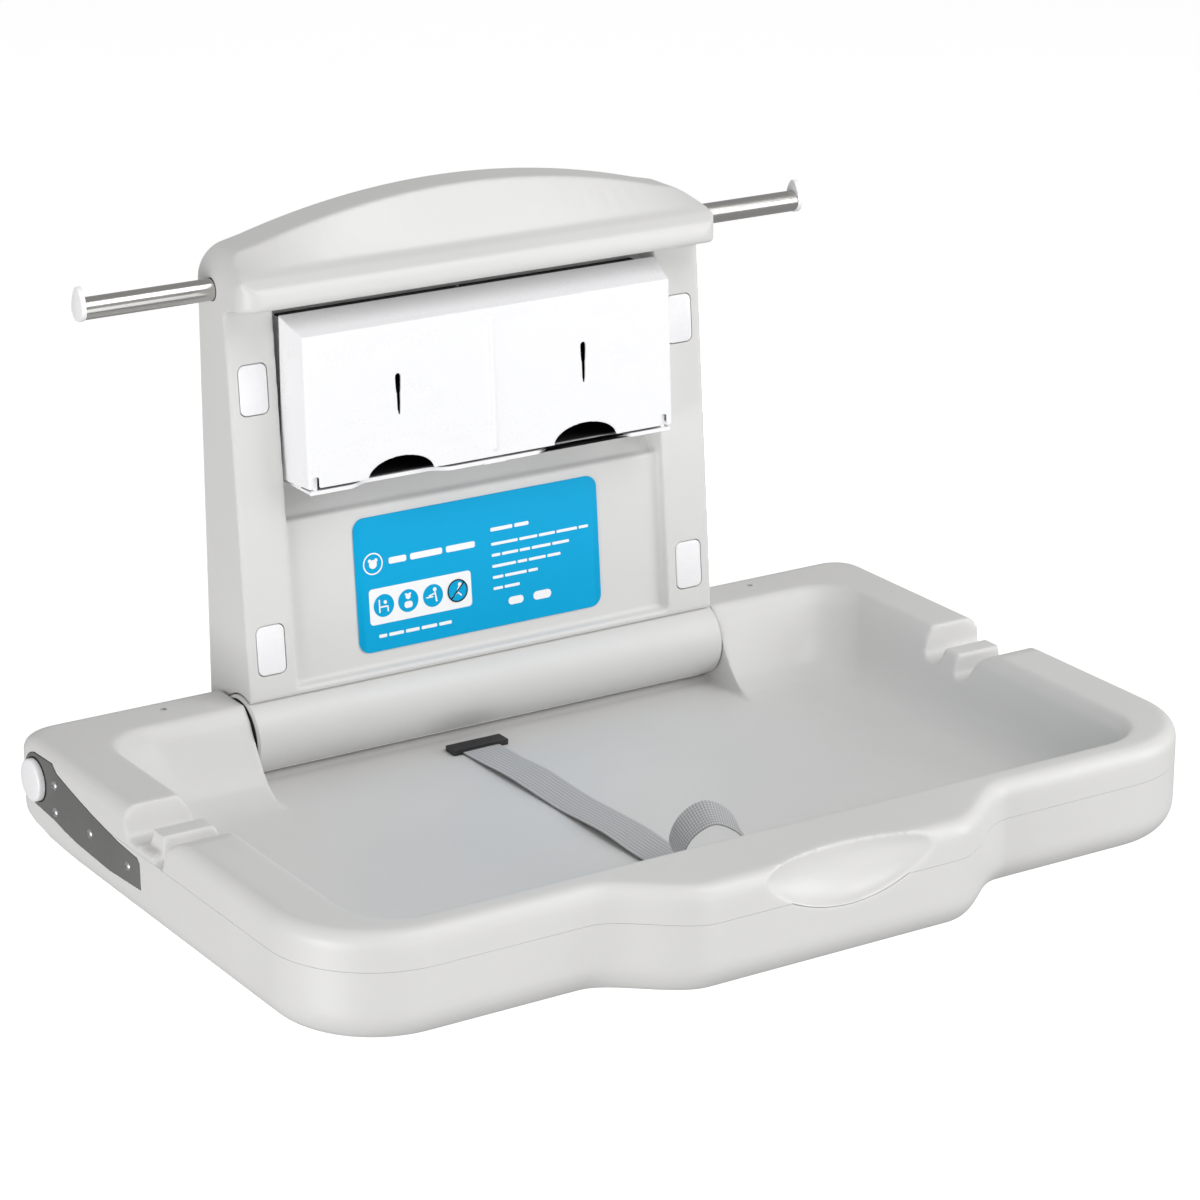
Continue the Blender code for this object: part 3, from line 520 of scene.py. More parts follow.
def build_tray():
    """The outer skin in one soft surface, then parted along its seam."""
    rear_cut = box("rear_cut", (-THROAT_HALF, THROAT_Y, up(-0.15)), (THROAT_HALF, 0.02, up(0.02)))
    body = cut(tray_block(), cavity(), rear_cut, finger_scoop(), bag_notch(-1), bag_notch(1))
    join(body, floor_lip())
    soften(body, *TRAY_GRAIN)
    for side, _ in SIDES:
        ends = sorted((side * (TRAY_HALF - 0.0026), side * 0.46))
        cut(body, prism_x("pocket", arm_outline(0.0005), *ends))
        hole = loft("drain", [[(x, y, z) for x, y in ring((side * 0.310, -0.041), 0.0032, 24)]
                              for z in (up(-0.012), up(0.01))])
        cut(body, hole)
    for half_name, margin in (("tray_top", SEAM_GAP), ("tray_bottom", -SEAM_GAP)):
        above = box("above", (-0.6, -0.8, HINGE_Z + margin), (0.6, 0.2, up(0.1)))
        liner = join(above, cavity(TRAY_SKIN - 2 * margin), finger_scoop(SCOOP_SKIN - 2 * margin))
        half = duplicate(body, half_name)
        half = keep(half, liner) if margin > 0 else cut(half, liner)
        finish(half, f"{half_name}_skin", "tray", tray_plastic, "tray_plastic", half_name)
    bpy.data.objects.remove(body)


build_tray()


def build_arms():
    """Each end's let-in steel arm, its cap with a black ring of painted shade round its foot, and four
    cross-head screws.
    """
    for side, label in SIDES:
        ends = sorted((side * (TRAY_HALF - 0.0024), side * (TRAY_HALF + 0.0002)))
        plate = prism_x("plate", arm_outline(-0.0002), *ends)
        finish(bevelled(plate, 0.00035, 2), f"arm_plate_{label}", "tray", grey_paint, "grey_paint",
               f"hinge_arm_{label}")

        face = TRAY_HALF + 0.0005
        profile = [(0.0, 0.0187), (0.0042, 0.0187), (0.0054, 0.0183), (0.0061, 0.0175), (0.0064, 0.0164),
                   (0.00645, 0.0080), (0.0065, 0.0010)]
        cap = turned_x("cap", [(side * (face + x), r) for x, r in profile])
        finish(cap, f"arm_cap_{label}", "tray", white_plastic, "white_plastic", f"hinge_cap_{label}")
        # Painted shade: a black ring just outside the cap's edge, in place of the shadow gap under it.
        cap_shade_ring = [(0.0, 0.0200), (0.0007, 0.0200), (0.0008, 0.0196), (0.0008, 0.0185)]
        finish(turned_x("cap_shade_ring", [(side * (TRAY_HALF + 0.0001 + x), r) for x, r in cap_shade_ring]),
               f"arm_cap_shade_ring_{label}", "tray", painted_shade_black, "black_plastic")

        for number, (y, z) in enumerate(ARM_SCREWS, 1):
            dome = [(0.0001, 0.0043), (0.0006, 0.0042), (0.0012, 0.0037), (0.0017, 0.0028), (0.0020, 0.0017),
                    (0.00215, 0.0005)]
            screw = turned_x("screw", [(side * (TRAY_HALF + x), r) for x, r in dome], (y, up(z)), 40)
            for turn in (20, 110):
                blade = box("blade", (-0.003, -0.00035, -0.0018), (0.003, 0.00035, 0.0018))
                blade.data.transform(Matrix.Translation((side * (TRAY_HALF + 0.0035), y, up(z)))
                                     @ Matrix.Rotation(math.radians(turn), 4, "X"))
                cut(screw, blade)
            finish(screw, f"arm_screw_{label}_{number}_head", "tray", zinc_steel, "zinc_steel",
                   f"arm_screw_{label}_{number}")


build_arms()


# ---------------------------------------------------------------- wall unit

def arch_height(x):
    """The arch's level over the rim at x, without its rounded ends."""
    return CROWN - ARCH_RISE * (x / UNIT_HALF) ** 2


def arch_outline(inset, foot):
    """The head's front outline in (x, z): a low arch with round ends."""
    half, radius = UNIT_HALF - inset, ARCH_END_R - inset
    flank = arch_height(UNIT_HALF - ARCH_END_R) - ARCH_END_R
    points = [(-half, foot), (half, foot)]
    points += arc((half - radius, flank), radius, 0, 74, 14)
    for i in range(41):
        x = 0.202 - 0.404 * i / 40
        points.append((x, arch_height(x) - inset))
    points += arc((-half + radius, flank), radius, 106, 180, 14)
    return [(x, up(z)) for x, z in points]


def head(inset, rear):
    """The head: a rounded ledge, and over it a face that leans back to the arch."""
    ledge = [(rear, 0.330), (-0.035, 0.330), (-0.040, 0.3385), (-0.047 + inset, 0.3460 + inset),
             (-0.055 + inset, 0.3505 + inset), (-0.066 + inset, 0.3528 + inset),
             (-0.082 + inset, 0.354 + inset), (-0.0860 + inset, 0.356 + inset),
             (-0.088 + inset, 0.361), (-0.0875 + inset, 0.368), (-0.084 + inset, 0.374 - inset),
             (-0.074 + inset, 0.381 - inset), (-0.065 + inset, 0.3850 - inset)]
    rings = []
    for i in range(61):
        x = (UNIT_HALF - inset) * (i / 30 - 1)
        top = arch_height(x) - inset
        profile = ledge + [(-0.036 + inset, top + 0.002), (-0.034 + inset, top + 0.02), (rear, top + 0.02)]
        rings.append([(x, y, up(z)) for y, z in profile])
    crown = loft("head", rings)
    half, radius, front = UNIT_HALF - inset, HEAD_CORNER_R - inset, -0.088 + inset
    plan = [(half, 0.04), (-half, 0.04)] + arc((-half + radius, front + radius), radius, 180, 270, 12)
    plan += arc((half - radius, front + radius), radius, 270, 360, 12)
    corners = loft("corners", [[(x, y, up(z)) for x, y in plan] for z in (0.30, 0.50)])
    return keep(crown, prism_y("arch", arch_outline(inset, 0.32), -0.1, 0.05), corners)


def unit_block(inset, rear):
    """The wall unit's outer body, drawn in by inset, with a groove round the roll."""
    profile = [(rear, UNIT_FOOT + inset), (-0.0175 + inset, UNIT_FOOT + inset)]
    profile += arc((HINGE_Y, HINGE_Z - RIM_Z), ROLL_R + 0.001 + inset, -12, 118, 32)
    low = profile[-1]
    profile += [(face_y(low[1]) + inset, low[1] + 0.003), (face_y(FACE_SPAN) + inset, FACE_SPAN - inset),
                (rear, FACE_SPAN - inset)]
    block = prism_x("block", raised(profile), -UNIT_HALF + inset, UNIT_HALF - inset)
    return join(block, head(inset, rear))


def recess(grow=0.0):
    """The pocket behind the dispenser and, below its sill, the sunk panel for the label."""
    deep, sill_y = -0.022 + grow, face_y(RECESS_SILL) + PANEL_INSET + 0.010 + grow
    pocket = [(-0.12, RECESS_TOP + grow), (deep, 0.346 + grow), (deep, 0.178 - grow),
              (sill_y, RECESS_SILL - grow), (-0.12, RECESS_SILL - grow)]
    panel = [(face_y(h) + PANEL_INSET + grow, h) for h in (RECESS_SILL + 0.001, 0.008)]
    panel += [(-0.12, 0.004), (-0.12, RECESS_SILL + 0.001)]
    half = RECESS_HALF + grow
    return [prism_x("recess", raised(profile), -half, half) for profile in (pocket, panel)]


def screw_sites():
    """Each screw cover's name and its place, as x and level."""
    for side, label in SIDES:
        for level, height in COVER_UPS.items():
            yield f"{level}_{label}", side * RAIL_X, height


def cover_pocket(x, height, grow=0.0):
    half_x, half_z = (size / 2 + POCKET_GAP + grow for size in COVER_SIZE)
    outline = [(x + px, up(height + pz)) for px, pz in rounded(half_x, half_z, 0.0068)]
    return prism_y("pocket", outline, -0.12, face_y(height) + 0.009 + grow)


def screw_hole(x, height, radius, sides, front, rear):
    """A round tool along Y at one of the four wall screws."""
    return prism_y("screw_hole", ring((x, up(height)), radius, sides), front, rear)


def build_unit():
    """The moulded front, softened as a solid and then hollowed from behind like the real shell."""
    body = unit_block(0.0, 0.012)
    cut(body, *recess())
    soften(body, *UNIT_GRAIN)
    void = unit_block(SHELL, 0.03)
    cut(void, *recess(SHELL))
    for _, x, height in screw_sites():
        cut(void, cover_pocket(x, height, 0.003))
        cut(void, screw_hole(x, height, 0.008, 32, -0.08, -PLATE - 0.0005))
    cut(body, void, box("behind_wall", (-0.3, -0.0003, up(-0.2)), (0.3, 0.05, up(0.6))))
    for _, x, height in screw_sites():
        cut(body, cover_pocket(x, height), screw_hole(x, height, 0.0029, 24, -0.1, 0.01))
    for side, _ in SIDES:
        ends = sorted((side * 0.228, side * 0.26))
        cut(body, turned_x("bar_hole", [(x, 0.0103) for x in ends], (BAR_Y, up(BAR_UP)), 64))
    finish(body, "unit_moulding", "wall_unit", body_plastic, "body_plastic", "unit_housing")


build_unit()


def build_screw_covers():
    steps = ((0.0042, 0.0), (0.0003, 0.0), (-0.0003, 0.0002), (-0.0007, 0.0007), (-0.0009, 0.0015))
    for site, x, height in screw_sites():
        rings = []
        for depth, inset in steps:
            outline = rounded(COVER_SIZE[0] / 2 - inset, COVER_SIZE[1] / 2 - inset, 0.006 - inset)
            rings.append([(x + px, face_y(height + pz) + depth, up(height + pz)) for px, pz in outline])
        name = f"screw_cover_{site}"
        finish(loft("cover", rings), f"{name}_cap", name, white_plastic, "white_plastic", name)


build_screw_covers()


def build_bar():
    """The bar, its turned-up end caps and black sleeves of painted shade in its two holes."""
    centre = (BAR_Y, up(BAR_UP))
    tip = arc((0.0, 0.0), 0.0104, 165, 375, 40)
    tip += [(0.0085, 0.0100), (0.0058, 0.0150), (0.0030, 0.0187), (0.0, 0.0200), (-0.0030, 0.0187),
            (-0.0058, 0.0150), (-0.0085, 0.0100)]
    tip = [(BAR_Y + y, up(BAR_UP) + z) for y, z in tip]
    sleeve = ((0.2320, 0.01025), (0.2424, 0.01025), (0.2428, 0.0101), (0.2428, 0.0099))
    tube = turned_x("tube", [(-BAR_HALF, BAR_R), (-0.25, BAR_R), (0.25, BAR_R), (BAR_HALF, BAR_R)], centre)
    finish(tube, "bag_bar_tube", "wall_unit", bar_steel, "brushed_steel", "bag_bar")
    for side, label in SIDES:
        face = side * (BAR_HALF + 0.0003)
        cap = bevelled(prism_x("cap", tip, *sorted((face, face + side * 0.0045))), 0.0009, 3)
        finish(cap, f"bag_bar_end_{label}", "wall_unit", white_plastic, "white_plastic",
               f"bag_bar_cap_{label}")
        # Painted shade: a black sleeve in the gap between the bar and its hole.
        hole_shade = turned_x("hole_shade", [(side * x, r) for x, r in sleeve], centre)
        finish(hole_shade, f"bar_hole_shade_{label}", "wall_unit", painted_shade_black, "black_plastic")


build_bar()


# ---------------------------------------------------------------- hinge

def build_hinge():
    """The roll between the tray's shoulders, with eased ends."""
    profile = [(-ROLL_HALF, 0.0335), (-ROLL_HALF + 0.0006, 0.0350), (-ROLL_HALF + 0.0020, ROLL_R),
               (-0.12, ROLL_R), (0.0, ROLL_R), (0.12, ROLL_R), (ROLL_HALF - 0.0020, ROLL_R),
               (ROLL_HALF - 0.0006, 0.0350), (ROLL_HALF, 0.0335)]
    roll = turned_x("roll", profile, sides=160)
    finish(roll, "roll_moulding", "wall_unit", body_plastic, "body_plastic", "hinge_roll")


build_hinge()


# ---------------------------------------------------------------- dispenser

def cover_block(inset, rear_extra=0.0):
    """The cover's wedge: a leaning face, a sloping top and chamfered sides."""
    rear = -0.050 + rear_extra
    half_rear, half_face = 0.1925 - inset, 0.1875 - inset
    top_rear, top_face, foot = COVER_TOP - inset, 0.3265 - inset, COVER_FOOT
    face_top, face_foot = -0.0830 + inset, -0.0900 + inset
    back = [(-half_rear, rear, up(foot)), (half_rear, rear, up(foot)),
            (half_rear, rear, up(top_rear)), (-half_rear, rear, up(top_rear))]
    face = [(-half_face, face_foot, up(foot)), (half_face, face_foot, up(foot)),
            (half_face, face_top, up(top_face)), (-half_face, face_top, up(top_face))]
    return loft("cover_block", [back, face])


def open_front(x):
    """How far the finger notch under a pull mouth cuts the base's lip back at x."""
    off = abs(abs(x) - MOUTH_X)
    t = max(0.0, min(1.0, (0.052 - off) / 0.022))
    return 0.0085 * t * t * (3 - 2 * t)


def lip_line(half):
    """The base's front edge in plan, from -half to half."""
    places = [-half + 2 * half * i / LIP_STEPS for i in range(LIP_STEPS + 1)]
    return [(x, LIP_FRONT + open_front(x)) for x in places]


def slab(name, plan, low, high):
    """A flat piece from its plan, between two levels over the rim."""
    return loft(name, [[(x, y, up(z)) for x, y in plan] for z in (low, high)])


def build_base():
    """Back, floor with a notched lip, sides and divider in one white moulding."""
    base = box("base", (-BASE_HALF, -0.0780, up(BASE_FOOT)), (BASE_HALF, -0.0225, up(0.3335)))
    inner = [(-0.10, BASE_FLOOR), (-0.10, 0.40), (-0.0250, 0.40), (-0.0250, BASE_FLOOR)]
    room_end, room_start = BASE_HALF - BASE_WALL, BASE_WALL / 2
    for low, high in ((-room_end, -room_start), (room_start, room_end)):
        cut(base, prism_x("room", raised(inner), low, high))
    slope = [(-0.10, 0.15), (-0.10, 0.42), (-0.046, 0.42), (-0.046, 0.25), (-0.074, 0.1865),
             (-0.074, 0.15)]
    cut(base, prism_x("slope", raised(slope), -0.25, 0.25))
    cut(base, box("divider_top", (-0.0014, -0.050, up(0.3260)), (0.0014, -0.0252, up(0.3400))))
    plan = [(0.1860, -0.066), (-0.1860, -0.066)] + lip_line(0.1860)
    join(base, slab("lip", plan, BASE_FOOT, BASE_FLOOR))
    line = lip_line(0.1858)
    plan = [(x, y + 0.0012) for x, y in line] + line[::-1]
    join(base, slab("edge", plan, BASE_FOOT - 0.0008, BASE_FLOOR + 0.0003))
    join(base, box("tab", (-0.011, -0.0900, up(BASE_FOOT - 0.0012)),
                   (0.011, -0.070, up(BASE_FLOOR + 0.0003))))
    for side, _ in SIDES:
        join(base, box("ear", (side * EAR_X - 0.0018, -0.0868, up(BASE_FOOT + 0.0005)),
                       (side * EAR_X + 0.0018, -0.0810, up(PIN_UP + 0.0028))))
    cut(base, turned_x("pin_bore", [(-0.3, 0.0013), (0.3, 0.0013)], (-0.0845, up(PIN_UP)), 16))
    finish(bevelled(base, 0.0004, 2), "dispenser_tray", "wall_unit", white_plastic, "white_plastic",
           "dispenser_base", sharp=20)


def build_hoppers():
    """Painted shade: black boxes in place of the dark space that shows through the cover's slots and mouths.
    """
    outer = [(-0.0255, BASE_FLOOR + 0.0006), (-0.0785, BASE_FLOOR + 0.0006), (-0.0780, 0.1915),
             (-0.0480, 0.2520), (-0.0490, 0.3345), (-0.0255, 0.3345)]
    inner = [(-0.0285, 0.1910), (-0.0900, 0.1910), (-0.0900, 0.3325), (-0.0285, 0.3325)]
    for side, label in SIDES:
        start, end = sorted((side * 0.0020, side * 0.1830))
        hopper = prism_x("hopper", raised(outer), start, end)
        cut(hopper, prism_x("room", raised(inner), start + 0.002, end - 0.002))
        # Painted shade: the box is black only to stand in for the dim inside of the dispenser.
        finish(hopper, f"painted_shade_box_{label}", "wall_unit", painted_shade_black, "black_plastic")


def build_dispenser():
    """The tipping cover, with its centre rib, sight slots, pull mouths and gaps for the base's ears."""
    cover = cover_block(0.0)
    hollow = cover_block(0.0025, 0.01)
    join(hollow, box("open_foot", (-0.1815, -0.0868, up(0.18)), (0.1815, -0.04, up(0.20))))
    cut(cover, hollow)
    rib = [(-0.0815, 0.1985), (-0.0908, 0.1985), (-0.0912, 0.2000), (-0.0846, 0.3170), (-0.0815, 0.3190)]
    join(cover, prism_x("rib", raised(rib), -0.0018, 0.0018))
    for x in (-MOUTH_X, MOUTH_X):
        slot = arc((x, up(0.2790)), 0.0028, 0, 180, 12)
        slot += [(x - 0.0008, up(0.2445)), (x + 0.0008, up(0.2445))]
        cut(cover, prism_y("slot", slot, -0.12, -0.07))
        mouth = [(x + 0.033 * math.cos(math.radians(a)), up(0.191) + 0.017 * math.sin(math.radians(a)))
                 for a in range(0, 181, 6)]
        cut(cover, prism_y("mouth", mouth, -0.12, -0.07))
    for side, _ in SIDES:
        cut(cover, box("ear_gap", (side * EAR_X - 0.0026, -0.12, up(0.18)),
                       (side * EAR_X + 0.0026, -0.08, up(PIN_UP + 0.0036))))
    soften(cover, *COVER_GRAIN)
    finish(cover, "dispenser_front", "dispenser_cover", white_plastic, "white_plastic", "dispenser_cover")


build_base()
build_hoppers()
build_dispenser()


# ---------------------------------------------------------------- label

def on_label(points, lift):
    """Points (across, up) from the label's centre, put on the leaning panel at a height above it."""
    return [(x, face_y(LABEL_UP + h) + PANEL_INSET - 0.0012 - lift, up(LABEL_UP + h))
            for x, h in points]


def printed(shapes, name, material, lift, thick=0.00008):
    """Flat printed shapes as one thin raised piece."""
    bm = bmesh.new()
    for shape in shapes:
        rings = [[bm.verts.new(p) for p in on_label(shape, height)] for height in (lift, lift + thick)]
        for i in range(len(shape)):
            j = (i + 1) % len(shape)
            bm.faces.new((rings[0][i], rings[0][j], rings[1][j], rings[1][i]))
        bm.faces.new(rings[0])
        bm.faces.new(rings[1])
    finish(make(name, bm), name, "wall_unit", material, "label_film")


def moved(shape, x, h):
    return [(x + px, h + ph) for px, ph in shape]


def annulus(centre, outer, inner, parts=2, sides=48):
    """A ring as closed part rings, since a face can't have a hole."""
    pieces = []
    for part in range(parts):
        start, end = 360 / parts * part, 360 / parts * (part + 1)
        steps = sides // parts
        pieces.append(arc(centre, outer, start, end, steps) + arc(centre, inner, end, start, steps))
    return pieces


def stroke(start, end, width):
    """A straight bar between two points."""
    start, end = Vector(start), Vector(end)
    run = (end - start).normalized()
    side = Vector((-run.y, run.x)) * width / 2
    return [tuple(corner) for corner in (start - side, end - side, end + side, start + side)]


def words(x, h, tall, lengths, space):
    """A line of plain bars in place of lettering."""
    bars = []
    for length in lengths:
        bars.append(moved(rounded(length / 2, tall / 2, tall * 0.3, 3), x + length / 2, h))
        x += length + space
    return bars


def bear(x, h, size):
    """A round head with two ears."""
    return [ring((x, h), size, 24), ring((x - size * 0.8, h + size * 0.85), size * 0.42, 16),
            ring((x + size * 0.8, h + size * 0.85), size * 0.42, 16)]


def build_label():
    """The plate and, in thin printed layers, generic pictograms and bars in place of lettering."""
    half_x, half_z = LABEL_HALVES
    plate = [on_label(rounded(half_x - inset, half_z - inset, 0.011 - inset), lift)
             for lift, inset in ((-0.0009, 0.0), (-0.0001, 0.0), (0.0, 0.00015))]
    finish(loft("plate", plate), "label_sheet", "wall_unit", label_blue, "label_film", "label_plate")

    white = annulus((-0.1090, 0.0190), 0.0100, 0.0088) + bear(-0.1090, 0.0185, 0.0040)
    white += words(-0.0930, 0.0190, 0.0058, (0.0180, 0.0330, 0.0300), 0.0040)
    white += words(-0.1070, -0.0480, 0.0030, (0.0080, 0.0150, 0.0140, 0.0160, 0.0130), 0.0022)
    white += words(0.0130, 0.0290, 0.0034, (0.0230, 0.0150), 0.0022)
    rows = ((0.0280, 0.0190, 0.0170, 0.0220, 0.0100), (0.0090, 0.0170, 0.0110, 0.0200, 0.0180),
            (0.0250, 0.0100, 0.0180, 0.0140), (0.0110, 0.0230, 0.0100), (0.0100, 0.0160))
    for row, lengths in enumerate(rows):
        white += words(0.0130, 0.0155 - 0.0103 * row, 0.0026, lengths, 0.0018)
    white += [moved(rounded(0.0080, 0.0036, 0.0035, 6), 0.0360, -0.0400),
              moved(rounded(0.0095, 0.0040, 0.0039, 6), 0.0640, -0.0400)]
    white += [moved(rounded(0.0525, 0.0165, 0.0035, 6), -0.0625, -0.0205)]
    printed(white, "label_print_white", label_white, 0.00002)

    discs = [ring((x, -0.0205), 0.0104, 40) for x in (-0.1005, -0.0755, -0.0500, -0.0245)]
    printed(discs, "label_print_blue", label_blue, 0.00014)
    chair = [stroke((-0.1050, -0.0265), (-0.1050, -0.0145), 0.0014),
             stroke((-0.1050, -0.0215), (-0.0965, -0.0215), 0.0014),
             stroke((-0.0965, -0.0215), (-0.0965, -0.0265), 0.0014),
             ring((-0.0990, -0.0175), 0.0017, 16)]
    toy = bear(-0.0755, -0.0165, 0.0026)
    toy += [moved(rounded(0.0042, 0.0030, 0.0025, 5), -0.0755, -0.0240)]
    carer = [ring((-0.0480, -0.0150), 0.0019, 16),
             stroke((-0.0480, -0.0170), (-0.0465, -0.0265), 0.0016),
             stroke((-0.0480, -0.0185), (-0.0545, -0.0205), 0.0013),
             stroke((-0.0570, -0.0215), (-0.0500, -0.0215), 0.0012)]
    climber = [ring((-0.0220, -0.0150), 0.0018, 16),
               stroke((-0.0225, -0.0165), (-0.0255, -0.0225), 0.0016),
               stroke((-0.0255, -0.0225), (-0.0300, -0.0255), 0.0012),
               stroke((-0.0250, -0.0215), (-0.0205, -0.0255), 0.0012)]
    printed(chair + toy + carer + climber, "label_marks_white", label_white, 0.00026)
    barred = annulus((-0.0245, -0.0205), 0.0106, 0.0094)
    barred += [stroke((-0.0318, -0.0278), (-0.0172, -0.0132), 0.0013)]
    printed(barred, "label_marks_black", label_black, 0.00038)


build_label()


# ---------------------------------------------------------------- strap and buckle

FLOOR = -FLOOR_DEPTH + 0.0003


def smooth_path(points, steps):
    """A Catmull-Rom curve through the points, as evenly spaced as its spans allow."""
    rows = [Vector(p) for p in points]
    rows = [2 * rows[0] - rows[1]] + rows + [2 * rows[-1] - rows[-2]]
    path = []
    for a, b, c, d in zip(rows, rows[1:], rows[2:], rows[3:]):
        for i in range(steps):
            t = i / steps
            path.append(0.5 * (2 * b + (c - a) * t + (2 * a - 5 * b + 4 * c - d) * t ** 2
                               + (3 * b - a - 3 * c + d) * t ** 3))
    return path + [rows[-2]]


def webbing_piece(path, across, ripple=0.0):
    """A strap of constant width along a path; across gives the width's direction at each point.

    Returns the piece and its length. UV runs along the strap in metres, so that the weave follows it.
    """
    half, columns = STRAP_WIDTH / 2, 10
    bm = bmesh.new()
    uv = bm.loops.layers.uv.new("along")
    lengths = [0.0]
    for a, b in zip(path, path[1:]):
        lengths.append(lengths[-1] + (b - a).length)
    grid, places = [], {}
    for i, point in enumerate(path):
        run = (path[min(i + 1, len(path) - 1)] - path[max(i - 1, 0)]).normalized()
        wide = (across[i] - run * across[i].dot(run)).normalized()
        normal = run.cross(wide).normalized()
        row = []
        for face in (1, -1):
            for k in range(columns + 1):
                u = (k / columns * 2 - 1) * face
                edge = 1.0 - 0.45 * max(0.0, abs(u) - 0.86) / 0.14
                wave = ripple * math.sin(lengths[i] * 55.0 + 1.3 * u) * math.sin(lengths[i] * 17.0 + 0.5)
                lift = face * STRAP_THICK / 2 * edge + wave
                vert = bm.verts.new(point + wide * (half * u) + normal * lift)
                places[vert] = (half * u, lengths[i])
                row.append(vert)
        grid.append(row)
    for low, high in zip(grid, grid[1:]):
        for k in range(len(low)):
            m = (k + 1) % len(low)
            bm.faces.new((low[k], low[m], high[m], high[k]))
    bm.faces.new(grid[0])
    bm.faces.new(grid[-1])
    for face in bm.faces:
        for corner in face.loops:
            corner[uv].uv = places[corner.vert]
    return make("strap", bm), lengths[-1]


def flat_run(points):
    """A run along the floor, with the webbing's width across X."""
    path = smooth_path([(STRAP_X + x, y, up(FLOOR + z)) for x, y, z in points], 6)
    return path, [Vector((1.0, 0.0, 0.0))] * len(path)


def build_strap():
    """The long part, loose on the floor from rear anchor to plug, and the short part at the socket."""
    plug_bar = BUCKLE_Y + 0.0086
    route = [(0.0, -0.0990, 0.0013), (0.0, -0.1200, 0.0013), (0.0, -0.1500, 0.0022),
             (0.0005, -0.1900, 0.0040), (0.001, -0.2300, 0.0024), (0.001, -0.2700, 0.0016),
             (0.0005, -0.3100, 0.0036), (0.0, -0.3500, 0.0052), (0.0, -0.3900, 0.0030),
             (0.0, -0.4250, 0.0034), (0.0, -0.4450, 0.0080), (0.0, -0.4560, 0.0084),
             (0.0, -0.4620, 0.0081), (0.0, plug_bar + 0.0010, 0.0062)]
    long_part, length = webbing_piece(*flat_run(route), 0.0003)
    finish(long_part, "strap_long_web", None, webbing, "webbing", "strap_long", sharp=60)
    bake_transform(long_part)

    route = [(0.0, -0.5150, 0.0013), (0.0, -0.5090, 0.0013), (0.0, -0.5040, 0.0020),
             (0.0, -0.4990, 0.0036)]
    short_part, length = webbing_piece(*flat_run(route))
    finish(short_part, "strap_short_web", "tray", webbing, "webbing", "strap_short", sharp=60)


def build_tail():
    """The strap's loose end: out of the plug's bar, up in a loop and down beside the buckle."""
    base = Vector((STRAP_X, BUCKLE_Y + 0.0082, up(FLOOR)))
    points = [(-0.004, 0.0010, 0.0096), (-0.013, 0.0060, 0.0150), (-0.020, 0.0080, 0.0300),
              (-0.012, 0.0050, 0.0500), (0.006, -0.0020, 0.0610), (0.024, -0.0100, 0.0520),
              (0.034, -0.0160, 0.0330), (0.044, -0.0210, 0.0160), (0.058, -0.0260, 0.0070),
              (0.078, -0.0310, 0.0045)]
    path = smooth_path([base + Vector(point) for point in points], 8)
    across = [Vector((0.25 + 0.1 * math.sin(3.0 * i / len(path)), 1.0, 0.18))
              for i in range(len(path))]
    tail, length = webbing_piece(path, across)
    finish(tail, "strap_tail_web", "buckle_plug", webbing, "webbing", sharp=60)
    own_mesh(tail)


# CAD nodes that show as they are, with a finish and a slight edge
KEPT = {"wall_plate": zinc_steel, "hinge_shaft": zinc_steel, "strap_anchor_rear": black_plastic,
        "strap_anchor_front": black_plastic, "buckle_socket": black_plastic, "buckle_plug": black_plastic}
for side, label in SIDES:
    KEPT[f"cover_pin_{label}"] = zinc_steel
    KEPT[f"hinge_damper_{label}"] = zinc_steel
    KEPT[f"hinge_bush_{label}"] = black_plastic
    KEPT[f"hinge_thrust_ring_{label}"] = black_plastic
    for level in COVER_UPS:
        KEPT[f"wall_screw_{level}_{label}"] = zinc_steel
for name, material in KEPT.items():
    nodes[name].data.materials.clear()
    nodes[name].data.materials.append(material)
    rounding = nodes[name].modifiers.new("rounding", "BEVEL")
    rounding.width = 0.0006
    rounding.segments = 2
    rounding.limit_method = "ANGLE"
    rounding.angle_limit = math.radians(40)

build_strap()
build_tail()


# ---------------------------------------------------------------- studio

SKY = 0.40
LIGHTS = (("left_low", (-3.4, -1.3, -0.6), 2.2, 98.0), ("front_low", (0.4, -3.4, -0.7), 2.0, 20.0),
          ("right", (3.0, -2.5, 0.9), 2.2, 50.0), ("top_front", (1.0, -2.2, 2.8), 2.2, 53.0))
LIT_POINT = (0.0, -0.3, 0.0)
FLOOR_Z = -1.05


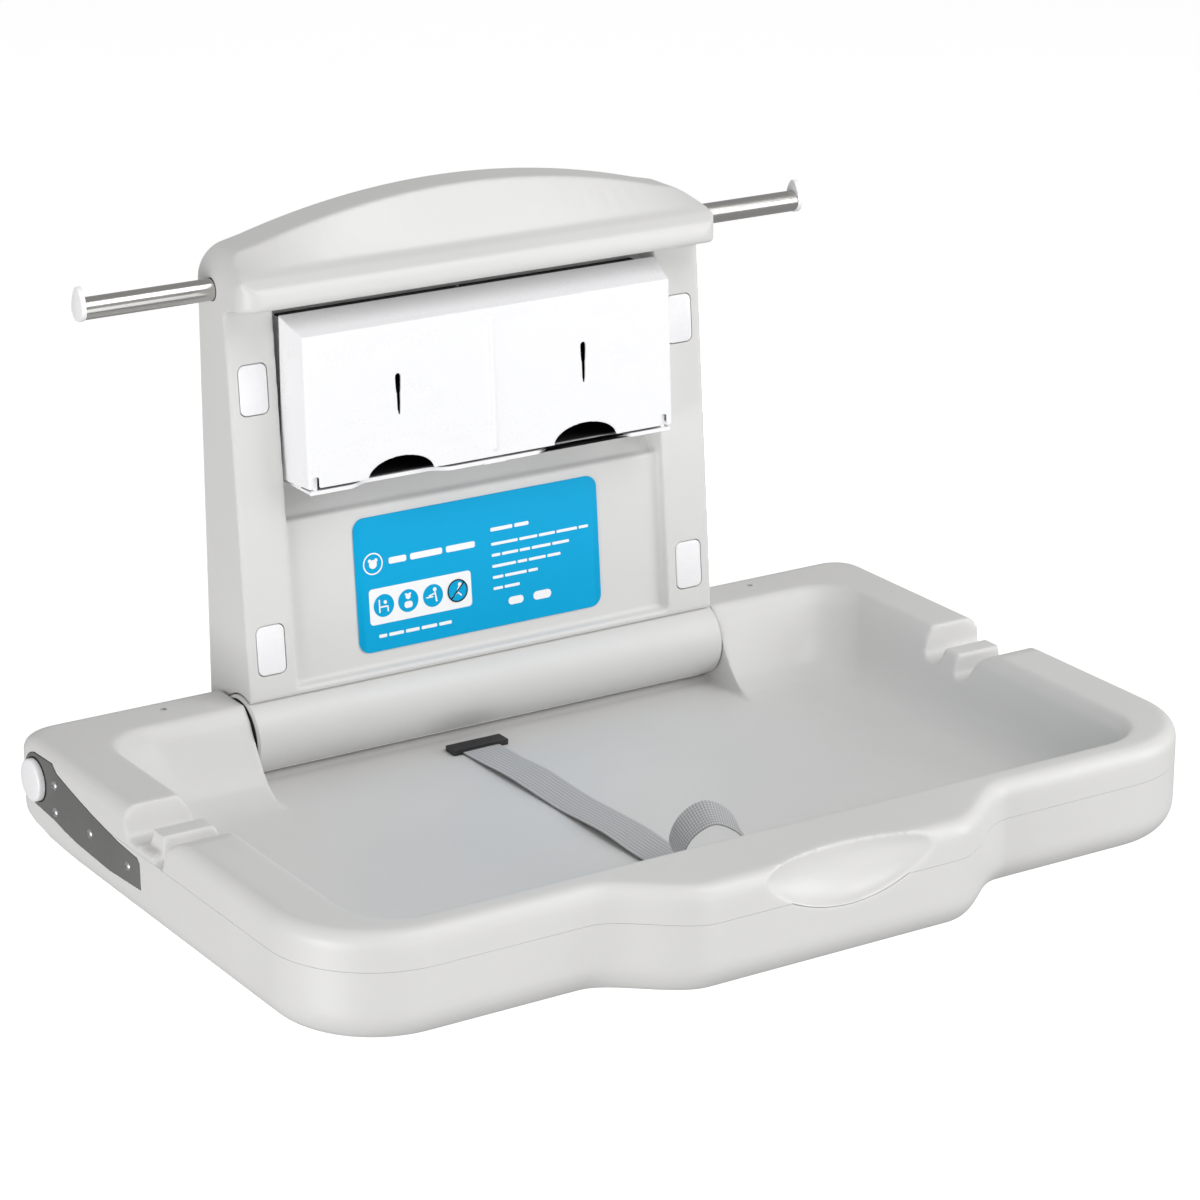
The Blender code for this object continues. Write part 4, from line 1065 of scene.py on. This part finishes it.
def studio():
    """A pale floor under an even white sky, lit softly from the front."""
    world = bpy.data.worlds.new("studio")
    bpy.context.scene.world = world
    world.use_nodes = True
    tree = world.node_tree
    background = tree.nodes["Background"]
    background.inputs["Color"].default_value = (1.0, 1.0, 1.0, 1.0)
    seen = tree.nodes.new("ShaderNodeLightPath").outputs["Is Camera Ray"]
    strength = tree.nodes.new("ShaderNodeMapRange")
    tree.links.new(seen, strength.inputs["Value"])
    strength.inputs["To Min"].default_value = SKY
    strength.inputs["To Max"].default_value = 1.0
    tree.links.new(strength.outputs["Result"], background.inputs["Strength"])

    bm = bmesh.new()
    bmesh.ops.create_grid(bm, x_segments=2, y_segments=2, size=14.0)
    floor = make("floor", bm)
    floor.location = (0.0, 0.0, FLOOR_Z)
    s = Shader("pale_floor")
    tone = s.mix(s.noise(1.5, 3.0), (0.91, 0.91, 0.91, 1.0), (0.93, 0.93, 0.93, 1.0))
    s.set(colour=tone, roughness=0.9, specular=0.1, glow=(1.0, 1.0, 1.0, 1.0), glow_strength=0.60)
    floor.data.materials.append(s.material)
    floor.visible_diffuse = False
    floor.visible_glossy = False

    for name, place, size, power in LIGHTS:
        light = bpy.data.lights.new(name, "AREA")
        light.size = size
        light.energy = power
        obj = bpy.data.objects.new(name, light)
        obj.location = place
        obj.rotation_mode = "QUATERNION"
        obj.rotation_quaternion = (Vector(LIT_POINT) - Vector(place)).to_track_quat("-Z", "Y")
        bpy.context.scene.collection.objects.link(obj)
    bpy.context.scene.view_settings.view_transform = "Standard"


def camera():
    """Seen from the front left and a little above, through a long lens."""
    yaw, pitch, roll = 0.5759, 0.3384, 0.004
    forward = Vector((math.sin(yaw) * math.cos(pitch), math.cos(yaw) * math.cos(pitch), -math.sin(pitch)))
    right = forward.cross(Vector((0, 0, 1))).normalized()
    above = right.cross(forward)
    side = right * math.cos(roll) + above * math.sin(roll)
    top = above * math.cos(roll) - right * math.sin(roll)
    data = bpy.data.cameras.new("camera")
    data.sensor_width = 36.0
    data.lens = 120.80
    data.shift_x, data.shift_y = -0.0254, 0.0092
    obj = bpy.data.objects.new("camera", data)
    turn = Matrix((side, top, -forward)).transposed().to_4x4()
    obj.matrix_world = Matrix.Translation((-1.7567, -3.0162, up(1.2478))) @ turn
    bpy.context.scene.collection.objects.link(obj)
    bpy.context.scene.camera = obj


studio()
camera()
